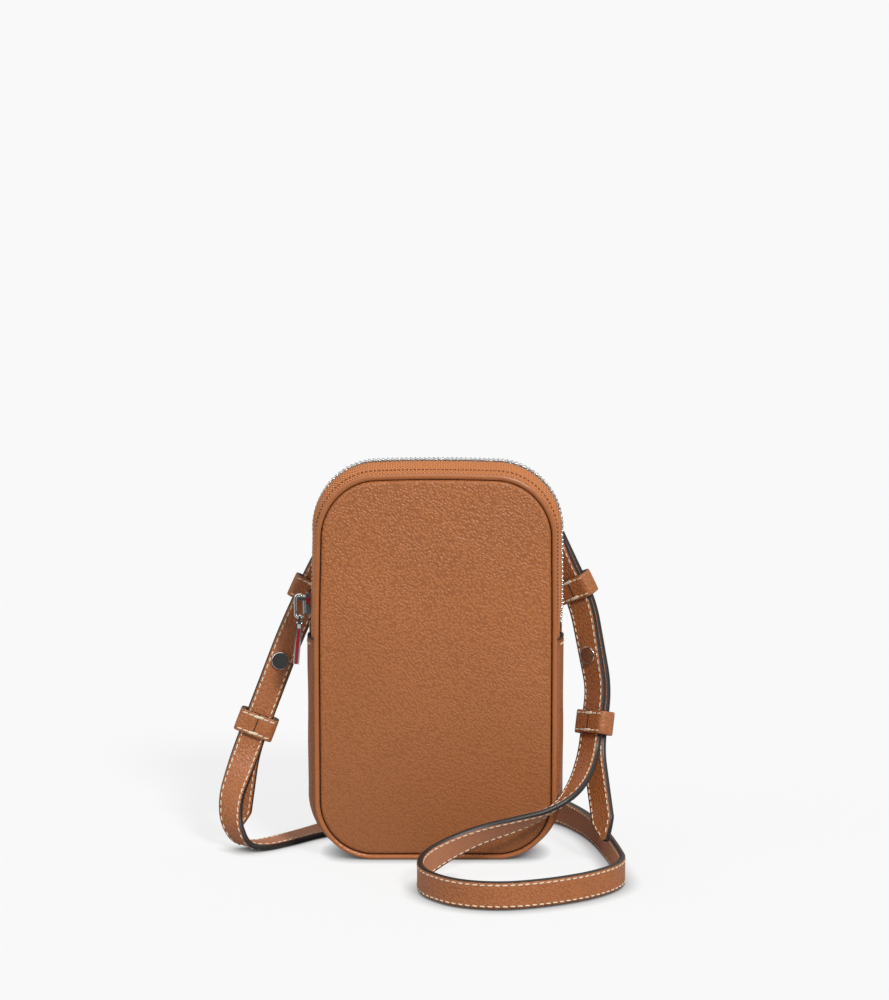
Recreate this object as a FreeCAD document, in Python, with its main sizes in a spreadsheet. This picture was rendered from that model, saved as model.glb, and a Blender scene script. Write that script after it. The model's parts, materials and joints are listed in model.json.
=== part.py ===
import FreeCAD, Part
import Sketcher
import math
import os

# A grained leather phone pouch that stands on its base: two panels with piping,
# a gusset, a zip over the top and a doubled leather shoulder strap.
# Millimetres, +Z up, front towards -Y, origin in the middle of the flat base.

Vector = FreeCAD.Vector

SIZES = {
    # pouch outline, taken at the middle of the piping
    "seam_width": 103.6, "seam_height": 169.4, "seam_radius": 25.0, "half_depth": 13.0,
    "piping_diameter": 2.4, "seam_gap": 0.1,
    # panels, boards and lining
    "panel_thickness": 1.8, "panel_sink": 0.4, "panel_fillet": 1.2,
    "board_thickness": 0.8, "board_inset": 4.0, "lining_thickness": 0.5, "lining_inset": 3.4,
    "layer_gap": 0.2, "bend_drop": 1.0, "split_gap": 0.2,
    # gusset and zip tape
    "gusset_wall": 1.4, "crown_side": 4.3, "crown_top": 6.0, "crown_base": 2.4,
    "zip_end_height": 98.0, "lining_drop": 1.3, "tape_thickness": 0.7, "tape_drop": 0.2,
    "tape_tuck": 6.0, "tape_edge": 1.9,
    # zip teeth and end stops
    "tooth_pitch": 2.0, "tooth_thickness": 0.85, "tooth_height": 2.2, "tooth_tail": 3.1,
    "tooth_head": 0.45, "tooth_grip": 0.15, "stop_rise": 1.5, "stop_length": 4.2,
    "stop_space": 0.5,
    # zip slider
    "slider_rise": 14.6, "slider_length": 9.6, "slider_width": 9.0, "slider_plate": 1.0,
    "slider_clearance": 0.25, "flange_width": 0.75, "flange_slot": 1.5, "divider_length": 2.6,
    "divider_width": 2.2, "bar_diameter": 1.2, "bar_rise": 1.8, "ear_gap": 3.0,
    "ear_width": 0.9, "ear_length": 1.8, "ear_lip": 0.8, "flank_inlay_thickness": 0.3,
    "flank_inlay_length": 2.8, "flank_inlay_rise": 1.4,
    # pull link and pull tab
    "link_wire": 1.2, "link_half_width": 1.95, "link_length": 10.2, "link_radius": 1.7,
    "link_play": 0.1, "plate_play": 0.35, "tab_width": 5.0, "tab_length": 20.5, "eye_thickness": 1.0,
    "eye_radius": 1.15, "eye_rim": 0.95, "eye_play": 0.22, "eye_corner": 0.8, "cover_thickness": 0.55,
    "cover_top": 2.9, "eye_tail": 4.6, "core_play": 0.05, "tab_lean": 5.0,
    # strap
    "strap_width": 12.2, "strap_thickness": 2.5, "layer_space": 0.5, "tip_length": 8.0,
    "tip_width": 2.4, "end_lead": 13.0, "keeper_length": 10.3, "keeper_wall": 1.4, "keeper_slack": 1.4,
    "keeper_play": 0.35,
    # studs
    "stud_diameter": 7.8, "stud_cap": 1.2, "post_diameter": 3.0,
    "post_play": 0.15, "screw_diameter": 1.6, "screw_head": 6.6, "screw_cap": 0.9, "seat_gap": 0.05,
    # rings behind the pouch and the tabs that hold them
    "ring_wire": 2.2, "ring_play": 0.5, "ring_side_play": 0.9, "ring_height": 9.0, "ring_corner": 1.0,
    "ring_fillet": 0.9, "holder_length": 13.0, "holder_skin": 1.15, "holder_thickness": 2.4,
    "holder_side_play": 0.5, "overrun": 5.0,
    # where the strap turns round its ring, from the seam's side and top and behind the rear seam
    "left_ring_inset": 8.1, "left_ring_drop": 34.1, "right_ring_inset": 5.0, "right_ring_drop": 24.3,
    "ring_setback": 4.4,
}

# shares of the half depth and of the crown that give the bulge of gusset and tape
CROWN_SHARES = ((-1, 0), (-0.82, 0.5), (-0.52, 0.87), (-0.22, 1),
                (0.22, 1), (0.52, 0.87), (0.82, 0.5), (1, 0))
ARC_STEPS = 12
CHAIN_STEPS = 40
FOLD_STEPS = 4
ROUTE_ARC_SHARE = 0.45
END_ARC_SHARE = 0.16

# Doubled strap ends: the front layer from its join with the free run up to the ring,
# with the direction of its marked edge at each point, and the place of the tail's tip.
RIGHT_END = (
    ((69.2, 6.4, 57.2), (0.68, -0.71, 0.18)),
    ((71.0, 10.6, 71.7), (0.68, -0.71, 0.18)),
    ((64.5, 17.6, 108.1), (0.86, -0.48, 0.18)),
    ((54.6, 18.4, 128.5), (0.86, -0.48, 0.18)),
    ((46.8, 17.4, 146.3), (0.87, 0, 0.48)),
)
RIGHT_TIP = (74.0, -24.0, 11.4)
LEFT_END = (
    ((-79.7, 14.4, 54.3), (-0.95, 0.03, 0.32)),
    ((-63.9, 17.4, 95.5), (-0.95, 0.03, 0.32)),
    ((-52.1, 19.5, 121.3), (-0.93, 0.03, 0.36)),
    ((-43.7, 17.4, 136.5), (-0.87, 0, 0.48)),
)
LEFT_TIP = (-89.6, 16.5, 4.6)
# run of the front layer that each keeper and stud sits on, and its share of that run
KEEPER_SHARES = {
    "left": {"upper": (1, 0.695), "lower": (0, 0)},
    "right": {"upper": (2, 0.347), "lower": (0, 0)},
}
STUD_SHARES = {"left": (0, 0.695), "right": (1, 0.396)}

# Route of the free run between its two leads, from right to left, with its marked edge's direction.
ROUTE = (
    ((64.1, -9.4, 36.4), (0.62, -0.75, 0.22)),
    ((58.0, -24.6, 31.0), (0.4, -0.87, 0.28)),
    ((48.4, -29.0, 25.0), (0.05, -0.92, 0.38)),
    ((34.5, -32.5, 20.9), (0, -0.74, 0.67)),
    ((20.3, -34.5, 17.4), (0, -0.6, 0.8)),
    ((6.5, -39.5, 12.6), (0, -0.35, 0.93)),
    ((-6.0, -50.0, 7.4), (0, 0, 1)),
    ((-7.0, -70.0, 6.4), (0, 0, 1)),
    ((7.0, -88.0, 6.4), (0, 0, 1)),
    ((26.0, -93.5, 6.4), (0, 0, 1)),
    ((46.0, -88.0, 6.4), (0, 0, 1)),
    ((67.0, -76.0, 6.4), (0, 0, 1)),
    ((81.0, -58.0, 6.4), (0, 0, 1)),
    ((78.2, -32.0, 6.4), (0, 0, 1)),
    ((74.2, -5.0, 6.4), (0, 0, 1)),
    ((68.4, 22.0, 6.4), (0, 0, 1)),
    ((56.5, 48.0, 6.4), (0, 0, 1)),
    ((36.0, 61.0, 6.4), (0, 0.12, 0.99)),
    ((11.0, 60.0, 6.3), (0, 0.5, 0.87)),
    ((-15.0, 51.0, 5.2), (-0.2, 0.78, 0.6)),
    ((-37.0, 39.0, 3.2), (-0.4, 0.88, 0.25)),
    ((-56.0, 25.5, 1.7), (-0.66, 0.75, 0)),
    ((-67.0, 13.8, 1.6), (-0.66, 0.75, 0)),
    ((-77.0, 5.0, 1.6), (-0.62, 0.78, 0)),
    ((-85.5, 1.0, 3.2), (-0.68, 0.73, 0)),
    ((-90.6, 1.5, 12.2), (-0.76, 0.64, 0.1)),
    ((-90.8, 4.8, 23.5), (-0.86, 0.5, 0.15)),
)

doc = FreeCAD.newDocument("phone_pouch")
sheet = doc.addObject("Spreadsheet::Sheet", "Sizes")
for row, (alias, value) in enumerate(SIZES.items(), start=1):
    sheet.set(f"A{row}", alias)
    sheet.set(f"B{row}", str(value))
    sheet.setAlias(f"B{row}", alias)
doc.recompute()

subparts = []


def size(alias):
    return float(sheet.get(alias))


def cells(expression):
    """Point the plain size names of an expression at the sheet's cells."""
    words = []
    for word in expression.replace("(", " ( ").replace(")", " ) ").split():
        words.append("Sizes." + word if word in SIZES else word)
    return " ".join(words)


def worked_out(expression):
    return float(sheet.evalExpression(cells(expression)))


def keep(label, thing):
    """Name a finished sub-part; its file takes the same name."""
    thing.Label = label
    subparts.append(thing)
    return thing


def new_body(label):
    body = doc.addObject("PartDesign::Body", label)
    return keep(label, body)


def new_sketch(body, role, offset="0"):
    sketch = body.newObject("Sketcher::SketchObject", "Sketch")
    support = [plane for plane in body.Origin.OriginFeatures if plane.Role == role]
    sketch.AttachmentSupport = (support[0], [""])
    sketch.MapMode = "FlatFace"
    sketch.setExpression("AttachmentOffset.Base.z", cells(offset))
    return sketch


def hold_from_origin(sketch, kind, shape, point, expression):
    """Fix one coordinate of a sketch point by a bound distance from the origin."""
    value = worked_out(expression)
    if expression == "0":
        axis = -2 if kind == "DistanceX" else -1
        sketch.addConstraint(Sketcher.Constraint("PointOnObject", shape, point, axis))
        return
    if value >= 0:
        ends = (-1, 1, shape, point)
        bound = expression
    else:
        ends = (shape, point, -1, 1)
        bound = f"0 - ( {expression} )"
    index = sketch.addConstraint(Sketcher.Constraint(kind, *ends, abs(value)))
    sketch.setExpression(f"Constraints[{index}]", cells(bound))


def rounded_loop(sketch, half, low, high, radius, low_round=True, high_round=True, closed=True):
    """Draw a rectangle about the vertical axis whose lower or upper corners may be round.

    An open loop leaves out its top line, so it runs from the left top to the right top,
    or its base line where only the upper corners are round.
    """
    wide, base, top, corner = (worked_out(text) for text in (half, low, high, radius))
    low_corner = corner if low_round else 0
    high_corner = corner if high_round else 0
    flat = Vector(0, 0, 1)
    ends = {
        "base": (Vector(low_corner - wide, base, 0), Vector(wide - low_corner, base, 0)),
        "right": (Vector(wide, base + low_corner, 0), Vector(wide, top - high_corner, 0)),
        "top": (Vector(wide - high_corner, top, 0), Vector(high_corner - wide, top, 0)),
        "left": (Vector(-wide, top - high_corner, 0), Vector(-wide, base + low_corner, 0)),
    }
    order = ["base", "right", "top", "left"]
    if not closed:
        order.remove("top" if low_round else "base")
    index = {}
    for side in order:
        index[side] = sketch.addGeometry(Part.LineSegment(*ends[side]))
        level = "Horizontal" if side in ("base", "top") else "Vertical"
        sketch.addConstraint(Sketcher.Constraint(level, index[side]))
    corners = (
        ("base", "right", low_round, Vector(wide - low_corner, base + low_corner, 0), -0.5),
        ("right", "top", high_round, Vector(wide - high_corner, top - high_corner, 0), 0),
        ("top", "left", high_round, Vector(high_corner - wide, top - high_corner, 0), 0.5),
        ("left", "base", low_round, Vector(low_corner - wide, base + low_corner, 0), 1),
    )
    first_arc = None
    for before, after, is_round, centre, turn_share in corners:
        if before not in index or after not in index:
            continue
        if not is_round:
            sketch.addConstraint(Sketcher.Constraint("Coincident", index[before], 2, index[after], 1))
            continue
        start = turn_share * math.pi
        circle = Part.Circle(centre, flat, corner)
        arc = sketch.addGeometry(Part.ArcOfCircle(circle, start, start + math.pi / 2))
        sketch.addConstraint(Sketcher.Constraint("Tangent", index[before], 2, arc, 1))
        sketch.addConstraint(Sketcher.Constraint("Tangent", arc, 2, index[after], 1))
        if first_arc is None:
            first_arc = arc
            held = sketch.addConstraint(Sketcher.Constraint("Radius", arc, corner))
            sketch.setExpression(f"Constraints[{held}]", cells(radius))
        else:
            sketch.addConstraint(Sketcher.Constraint("Equal", first_arc, arc))
    hold_from_origin(sketch, "DistanceX", index["right"], 1, half)
    hold_from_origin(sketch, "DistanceX", index["left"], 1, f"0 - ( {half} )")
    lowest = ("base", 1) if "base" in index else ("right", 1)
    highest = ("top", 1) if "top" in index else ("right", 2)
    hold_from_origin(sketch, "DistanceY", index[lowest[0]], lowest[1], low)
    hold_from_origin(sketch, "DistanceY", index[highest[0]], highest[1], high)
    if not closed:
        free_end = (1, high) if low_round else (2, low)
        hold_from_origin(sketch, "DistanceY", index["left"], *free_end)


def round_dot(sketch, across, up, radius):
    """Draw a circle whose centre and radius follow the sheet."""
    centre = Vector(worked_out(across), worked_out(up), 0)
    ring = sketch.addGeometry(Part.Circle(centre, Vector(0, 0, 1), worked_out(radius)))
    held = sketch.addConstraint(Sketcher.Constraint("Radius", ring, worked_out(radius)))
    sketch.setExpression(f"Constraints[{held}]", cells(radius))
    hold_from_origin(sketch, "DistanceX", ring, 3, across)
    hold_from_origin(sketch, "DistanceY", ring, 3, up)


def pad(body, sketch, length):
    feature = body.newObject("PartDesign::Pad", "Pad")
    feature.Profile = sketch
    feature.setExpression("Length", cells(length))
    sketch.Visibility = False
    doc.recompute()
    return feature


def fillet(body, base, radius, wanted):
    """Round the edges of a feature that the given test picks."""
    names = [f"Edge{n}" for n, edge in enumerate(base.Shape.Edges, start=1) if wanted(edge.BoundBox)]
    feature = body.newObject("PartDesign::Fillet", "Fillet")
    feature.Base = (base, names)
    feature.setExpression("Radius", cells(radius))
    doc.recompute()
    return feature


def block(name, lengths, corner):
    """A box whose three lengths and low corner follow the sheet."""
    box = doc.addObject("Part::Box", name)
    for side, text in zip(("Length", "Width", "Height"), lengths):
        box.setExpression(side, cells(text))
    for axis, text in zip("xyz", corner):
        box.setExpression(f"Placement.Base.{axis}", cells(text))
    return box


def along_x(name, radius, start, length, across, up):
    """A cylinder that runs along its own X direction."""
    rod = doc.addObject("Part::Cylinder", name)
    rod.Placement = FreeCAD.Placement(Vector(), FreeCAD.Rotation(Vector(0, 1, 0), 90))
    rod.setExpression("Radius", cells(radius))
    rod.setExpression("Height", cells(length))
    for axis, text in zip("xyz", (start, across, up)):
        rod.setExpression(f"Placement.Base.{axis}", cells(text))
    return rod


def joined(name, things):
    fuse = doc.addObject("Part::MultiFuse", name)
    fuse.Shapes = things
    return fuse


def cut_out(name, base, tool):
    cut = doc.addObject("Part::Cut", name)
    cut.Base = base
    cut.Tool = tool
    return cut


def add_shape(label, shape):
    feature = keep(label, doc.addObject("Part::Feature", label))
    feature.Shape = shape
    return feature


def unit(vector):
    return Vector(vector) / vector.Length


def axes_at(origin, across, along):
    """A placement whose X and Y directions are the two given ones, made square."""
    x_axis = unit(across)
    z_axis = unit(x_axis.cross(along))
    y_axis = z_axis.cross(x_axis)
    turn = FreeCAD.Rotation(x_axis, y_axis, z_axis, "ZXY")
    return FreeCAD.Placement(origin, turn)


# Flat layers cut to the seam outline

def layer(label, inset, reach, thickness, share_of_front="whole"):
    """One flat layer; reach is the distance of its rear face in front of the middle plane."""
    body = new_body(label)
    sketch = new_sketch(body, "XZ_Plane", reach)
    low = f"piping_diameter / 2 + {inset}"
    high = f"piping_diameter / 2 + seam_height - ( {inset} )"
    if share_of_front == "lower":
        high = "zip_end_height - bend_drop - split_gap / 2"
    if share_of_front == "upper":
        low = "zip_end_height - bend_drop + split_gap / 2"
    half = f"seam_width / 2 - ( {inset} )"
    radius = f"seam_radius - ( {inset} )"
    rounded_loop(sketch, half, low, high, radius, share_of_front != "upper", share_of_front != "lower")
    return body, pad(body, sketch, thickness)


def leather_panel(label, reach, outer_face, share_of_front="whole"):
    """A panel whose outer rim is rounded off, but not along the bend line."""
    inset = "( piping_diameter / 2 + seam_gap )"
    body, base = layer(label, inset, reach, "panel_thickness", share_of_front)
    face = worked_out(outer_face)
    bend = worked_out("zip_end_height - bend_drop")
    near = worked_out("split_gap")

    def on_rim(box):
        flat = abs(box.YMin - face) < near and abs(box.YMax - face) < near
        on_bend = abs(box.ZMin - bend) < near and abs(box.ZMax - bend) < near
        return flat and not on_bend

    fillet(body, base, "panel_fillet", on_rim)


def piping(label, place, share_of_front="whole"):
    """A round welt that follows the seam outline."""
    body = new_body(label)
    spine = new_sketch(body, "XZ_Plane", f"0 - ( {place} )")
    low = "piping_diameter / 2"
    high = "piping_diameter / 2 + seam_height"
    start = "piping_diameter / 2 + seam_radius"
    if share_of_front == "lower":
        high = start = "zip_end_height - bend_drop - split_gap / 2"
    if share_of_front == "upper":
        low = start = "zip_end_height - bend_drop + split_gap / 2"
    whole = share_of_front == "whole"
    rounded_loop(spine, "seam_width / 2", low, high, "seam_radius",
                 share_of_front != "upper", share_of_front != "lower", whole)
    welt = new_sketch(body, "XY_Plane", start)
    round_dot(welt, "0 - seam_width / 2", place, "piping_diameter / 2")
    sweep(body, welt, spine)


def sweep(body, profile, spine):
    pipe = body.newObject("PartDesign::AdditivePipe", "Pipe")
    pipe.Profile = profile
    pipe.Spine = (spine, [])
    doc.recompute()


PANEL_FACE = "half_depth - panel_sink"
BOARD_FACE = f"{PANEL_FACE} - layer_gap"
LINING_FACE = f"{BOARD_FACE} - board_thickness - layer_gap"
FRONT_SHARES = ("lower", "upper")

for share in FRONT_SHARES:
    leather_panel(f"front_panel_{share}", PANEL_FACE, f"0 - ( {PANEL_FACE} ) - panel_thickness", share)
    piping(f"front_piping_{share}", "0 - half_depth", share)
    layer(f"front_board_{share}", "board_inset", f"{BOARD_FACE} - board_thickness", "board_thickness", share)
    layer(f"front_lining_{share}", "lining_inset", f"{LINING_FACE} - lining_thickness",
          "lining_thickness", share)
leather_panel("back_panel", f"0 - ( {PANEL_FACE} ) - panel_thickness", f"{PANEL_FACE} + panel_thickness")
piping("back_piping", "half_depth")
layer("back_board", "board_inset", f"0 - ( {BOARD_FACE} )", "board_thickness")
layer("back_lining", "lining_inset", f"0 - ( {LINING_FACE} )", "lining_thickness")


# Bands that run round the pouch between the two pipings

HALF_WIDTH = size("seam_width") / 2
SEAM_LOW = size("piping_diameter") / 2
SEAM_HIGH = SEAM_LOW + size("seam_height")
CORNER = size("seam_radius")
BAND_HALF = size("half_depth") - size("piping_diameter") / 2 - size("seam_gap")


def base_stations(steps):
    """Left zip end, down, along the base and up again: seam point, outward direction, crown."""
    left = [(Vector(-HALF_WIDTH, 0, size("zip_end_height")), Vector(-1, 0, 0), size("crown_side"))]
    centre = Vector(CORNER - HALF_WIDTH, 0, SEAM_LOW + CORNER)
    rise = size("crown_side") - size("crown_base")
    for step in range(steps + 1):
        angle = step / steps * math.pi / 2
        outward = Vector(-math.cos(angle), 0, -math.sin(angle))
        left.append((centre + outward * CORNER, outward, size("crown_base") + rise * math.cos(angle)))
    return left + mirrored(left)


def top_stations(start, steps):
    """Up the left side from the given height, over the top and down the right side."""
    left = [(Vector(-HALF_WIDTH, 0, start), Vector(-1, 0, 0), size("crown_side"))]
    centre = Vector(CORNER - HALF_WIDTH, 0, SEAM_HIGH - CORNER)
    rise = size("crown_top") - size("crown_side")
    for step in range(steps + 1):
        angle = step / steps * math.pi / 2
        outward = Vector(-math.cos(angle), 0, math.sin(angle))
        left.append((centre + outward * CORNER, outward, size("crown_side") + rise * math.sin(angle)))
    return left + mirrored(left)


def mirrored(stations):
    flipped = []
    for point, outward, crown in reversed(stations):
        flipped.append((Vector(-point.x, 0, point.z), Vector(-outward.x, 0, outward.z), crown))
    return flipped


def band(stations, spots, drop, wall):
    """A thin bulging band; drop sets it inside the gusset's outer face, the floor keeps it flat."""
    wires = []
    for point, outward, crown in stations:
        outer = []
        inner = []
        for depth, share in spots:
            for line, sink in ((outer, drop), (inner, drop + wall)):
                spot = point + outward * (crown * share - sink)
                line.append(Vector(spot.x, depth, max(spot.z, sink)))
        ring = outer + inner[::-1]
        wires.append(Part.makePolygon(ring + ring[:1]))
    return Part.makeLoft(wires, True, True)


FULL_SPOTS = [(place * BAND_HALF, share) for place, share in CROWN_SHARES]
FRONT_SPOTS = [spot for spot in FULL_SPOTS if spot[0] < -size("tape_edge")] + [(-size("tape_edge"), 1)]
REAR_SPOTS = [(-depth, share) for depth, share in FRONT_SPOTS]
TAPE_DROP = size("gusset_wall") + size("tape_drop")
LINING_DROP = size("gusset_wall") + size("lining_drop")
TAPE_START = size("zip_end_height") - size("tape_tuck")

add_shape("gusset", band(base_stations(ARC_STEPS), FULL_SPOTS, 0, size("gusset_wall")))
add_shape("gusset_lining", band(base_stations(ARC_STEPS), FULL_SPOTS, LINING_DROP, size("lining_thickness")))
tape_line = top_stations(TAPE_START, ARC_STEPS)
add_shape("zip_tape_front", band(tape_line, FRONT_SPOTS, TAPE_DROP, size("tape_thickness")))
add_shape("zip_tape_rear", band(tape_line, REAR_SPOTS, TAPE_DROP, size("tape_thickness")))


# Zip teeth and end stops, set along the middle of the tape

CHAIN_DROP = TAPE_DROP + size("tape_thickness") / 2
CHAIN = [point + outward * (crown - CHAIN_DROP)
         for point, outward, crown in top_stations(size("zip_end_height"), CHAIN_STEPS)]
CHAIN_LENGTH = sum((after - before).Length for before, after in zip(CHAIN, CHAIN[1:]))


def chain_place(distance):
    """Placement on the chain: X along it, Y to the rear, Z outward."""
    for before, after in zip(CHAIN, CHAIN[1:]):
        run = after - before
        if distance <= run.Length or after is CHAIN[-1]:
            return axes_at(before + unit(run) * distance, run, Vector(0, 1, 0))
        distance -= run.Length


def clamp(length, reach, side):
    """A metal clamp that grips the tape's edge and reaches a given way past the middle."""
    tail = size("tooth_tail")
    height = size("tooth_height")
    slot_height = size("tape_thickness") + 2 * size("tooth_grip")
    slot_depth = tail - size("tape_edge") + size("tooth_grip")
    spare = size("overrun")
    metal = Part.makeBox(length, tail + reach, height, Vector(-length / 2, -tail, -height / 2))
    slot = Part.makeBox(length + 2 * spare, slot_depth + spare, slot_height,
                        Vector(-length / 2 - spare, -tail - spare, -slot_height / 2))
    shape = metal.cut(slot)
    if side == "rear":
        shape = shape.mirror(Vector(), Vector(0, 1, 0))
    return shape


def clamps(shape, distances):
    copies = []
    for distance in distances:
        copy = shape.copy()
        copy.Placement = chain_place(distance).multiply(shape.Placement)
        copies.append(copy)
    return Part.makeCompound(copies)


chain_start = size("slider_rise") - size("slider_length") / 2 + size("divider_length")
chain_start += size("tooth_thickness")
chain_end = CHAIN_LENGTH - size("stop_rise") - size("stop_length") - size("stop_space")
tooth_count = int((chain_end - chain_start) / size("tooth_pitch"))
stop_middle = size("stop_rise") + size("stop_length") / 2
for side, lead_share in (("front", 0), ("rear", 0.5)):
    first = chain_start + lead_share * size("tooth_pitch")
    places = [first + number * size("tooth_pitch") for number in range(tooth_count)]
    tooth = clamp(size("tooth_thickness"), size("tooth_head"), side)
    add_shape(f"zip_teeth_{side}", clamps(tooth, places))
    stop = clamp(size("stop_length"), -size("tooth_head"), side)
    add_shape(f"zip_stops_{side}", clamps(stop, (stop_middle, CHAIN_LENGTH - stop_middle)))
print("teeth in each row:", tooth_count)


# Zip slider: X across the zip towards the front, Y up the zip, Z outward

CHANNEL = "( tooth_height / 2 + slider_clearance )"
STANDOFF = "( link_half_width + link_wire / 2 + plate_play )"
BAR_UP = f"{CHANNEL} + slider_plate + {STANDOFF}"
slider_plates = [
    block("outer_plate", ("slider_width", "slider_length", "slider_plate"),
          ("0 - slider_width / 2", "0 - slider_length / 2", CHANNEL)),
    block("inner_plate", ("slider_width", "slider_length", "slider_plate"),
          ("0 - slider_width / 2", "0 - slider_length / 2", f"0 - {CHANNEL} - slider_plate")),
    block("divider", ("divider_width", "divider_length", f"2 * {CHANNEL}"),
          ("0 - divider_width / 2", "0 - slider_length / 2", f"0 - {CHANNEL}")),
    along_x("pull_bar", "bar_diameter / 2", "0 - ear_gap / 2 - ear_width", "ear_gap + 2 * ear_width",
            "bar_rise", BAR_UP),
]
flange_rise = f"{CHANNEL} - flange_slot / 2"
for left_edge in ("0 - slider_width / 2", "slider_width / 2 - flange_width"):
    for low_face in ("flange_slot / 2", f"0 - {CHANNEL}"):
        slider_plates.append(block("flange", ("flange_width", "slider_length", flange_rise),
                                   (left_edge, "0 - slider_length / 2", low_face)))
for left_edge in ("ear_gap / 2", "0 - ear_gap / 2 - ear_width"):
    slider_plates.append(block("ear", ("ear_width", "ear_length", f"{STANDOFF} + ear_lip"),
                               (left_edge, "bar_rise - ear_length / 2", f"{CHANNEL} + slider_plate")))
slider_point = Vector(CHAIN[0].x, 0, size("zip_end_height") + size("slider_rise"))
slider_place = axes_at(slider_point, Vector(0, -1, 0), Vector(0, 0, 1))
slider = keep("zip_slider", joined("zip_slider", slider_plates))
doc.recompute()
slider.Placement = slider_place
inlay = keep("slider_inlay", doc.addObject("Part::Box", "slider_inlay"))
inlay.setExpression("Length", cells("flank_inlay_thickness"))
inlay.setExpression("Width", cells("flank_inlay_length"))
inlay.setExpression("Height", cells(f"slider_plate + {CHANNEL} - flange_slot / 2"))
inlay_corner = Vector(size("slider_width") / 2, size("flank_inlay_rise") - size("flank_inlay_length") / 2,
                      size("flange_slot") / 2)
inlay.Placement = FreeCAD.Placement(slider_place.multVec(inlay_corner), slider_place.Rotation)


# Oval pull link on the slider's bar, and the pull tab on the link

LINK_HIGH = "bar_diameter / 2 + link_play + link_wire / 2"
LINK_LOW = f"{LINK_HIGH} - link_length"
bar_point = slider_place.multVec(Vector(0, size("bar_rise"), worked_out(BAR_UP)))
link = new_body("pull_link")
link_line = new_sketch(link, "XZ_Plane")
rounded_loop(link_line, "link_half_width", LINK_LOW, LINK_HIGH, "link_radius")
link_wire = new_sketch(link, "XY_Plane", f"{LINK_LOW} + link_radius")
round_dot(link_wire, "0 - link_half_width", "0", "link_wire / 2")
sweep(link, link_wire, link_line)
link.Placement.Base = bar_point

EYE_TOP = "link_wire / 2 + eye_play"
tab = new_body("pull_tab")
eye = new_sketch(tab, "YZ_Plane", "0 - eye_thickness / 2")
rounded_loop(eye, "tab_width / 2", "0 - eye_tail", f"{EYE_TOP} + eye_rim", "eye_corner")
round_dot(eye, "0", f"{EYE_TOP} - eye_radius", "eye_radius")
pad(tab, eye, "eye_thickness")
for cover_face in ("eye_thickness / 2", "0 - eye_thickness / 2 - cover_thickness"):
    cover = new_sketch(tab, "YZ_Plane", cover_face)
    rounded_loop(cover, "tab_width / 2", "0 - tab_length", "0 - cover_top", "eye_corner")
    pad(tab, cover, "cover_thickness")
core = new_body("pull_tab_core")
core_line = new_sketch(core, "YZ_Plane", "core_play - eye_thickness / 2")
rounded_loop(core_line, "tab_width / 2 - core_play", "core_play - tab_length", "0 - eye_tail - core_play",
             "eye_corner - core_play")
pad(core, core_line, "eye_thickness - 2 * core_play")
tab_point = bar_point + Vector(0, 0, worked_out(LINK_LOW))
tab_turn = FreeCAD.Rotation(Vector(0, 1, 0), size("tab_lean"))
for hanging in (tab, core):
    hanging.Placement = FreeCAD.Placement(tab_point, tab_turn)


# Shoulder strap: a flat strip along straight runs joined by tangent arcs

ARC_STEP_ANGLE = math.radians(15)


def edge_at(edges, place):
    """Direction of the marked edge between two points of a route."""
    before = min(int(place), len(edges) - 2)
    share = place - before
    return edges[before] * (1 - share) + edges[before + 1] * share


def rounded_route(points, arc_share, print_as=None):
    """Stations along a route: point, direction and place counted in runs."""
    runs = [after - before for before, after in zip(points, points[1:])]
    stations = [(points[0], unit(runs[0]), 0)]
    radii = []
    for number in range(1, len(points) - 1):
        before = unit(runs[number - 1])
        after = unit(runs[number])
        turn = before.getAngle(after)
        reach = arc_share * min(runs[number - 1].Length, runs[number].Length)
        radius = reach / math.tan(turn / 2)
        radii.append(radius)
        inward = unit(after - before * before.dot(after))
        start = points[number] - before * reach
        steps = max(2, math.ceil(turn / ARC_STEP_ANGLE))
        for step in range(steps + 1):
            angle = step / steps * turn
            point = start + before * (radius * math.sin(angle)) + inward * (radius * (1 - math.cos(angle)))
            direction = before * math.cos(angle) + inward * math.sin(angle)
            side = step / steps - 0.5
            run = runs[number - 1] if side < 0 else runs[number]
            stations.append((point, direction, number + 2 * side * reach / run.Length))
    stations.append((points[-1], unit(runs[-1]), len(points) - 1))
    if print_as:
        print(print_as, "arc radii:", " ".join(f"{radius:.1f}" for radius in radii))
    return stations


def with_edges(stations, edges):
    """Square the marked edge's direction to the strap's direction at each station."""
    framed = []
    for point, direction, place in stations:
        edge = edge_at(edges, place)
        framed.append((point, direction, unit(edge - direction * edge.dot(direction))))
    return framed


def strip(framed, widths):
    """A ruled solid through one rectangle at each station, compared with section times length."""
    thickness = size("strap_thickness")
    wires = []
    for (point, direction, edge), width in zip(framed, widths):
        side = edge * (width / 2)
        rise = direction.cross(edge) * (thickness / 2)
        ring = [point + side + rise, point - side + rise, point - side - rise, point + side - rise]
        wires.append(Part.makePolygon(ring + ring[:1]))
    solid = Part.makeLoft(wires, True, True)
    length = 0
    expected = 0
    for number in range(1, len(framed)):
        step = (framed[number][0] - framed[number - 1][0]).Length
        length += step
        expected += step * thickness * (widths[number] + widths[number - 1]) / 2
    print(f"strip length {length:.1f}, volume {solid.Volume:.0f}, section times length {expected:.0f}")
    return solid


def towards_front(direction, edge):
    normal = unit(direction.cross(edge))
    return normal if normal.y < 0 else normal * -1


LAYER_STEP = size("strap_thickness") + size("layer_space")
FOLD_RADIUS = size("ring_wire") / 2 + size("ring_play") + size("strap_thickness") / 2


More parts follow.
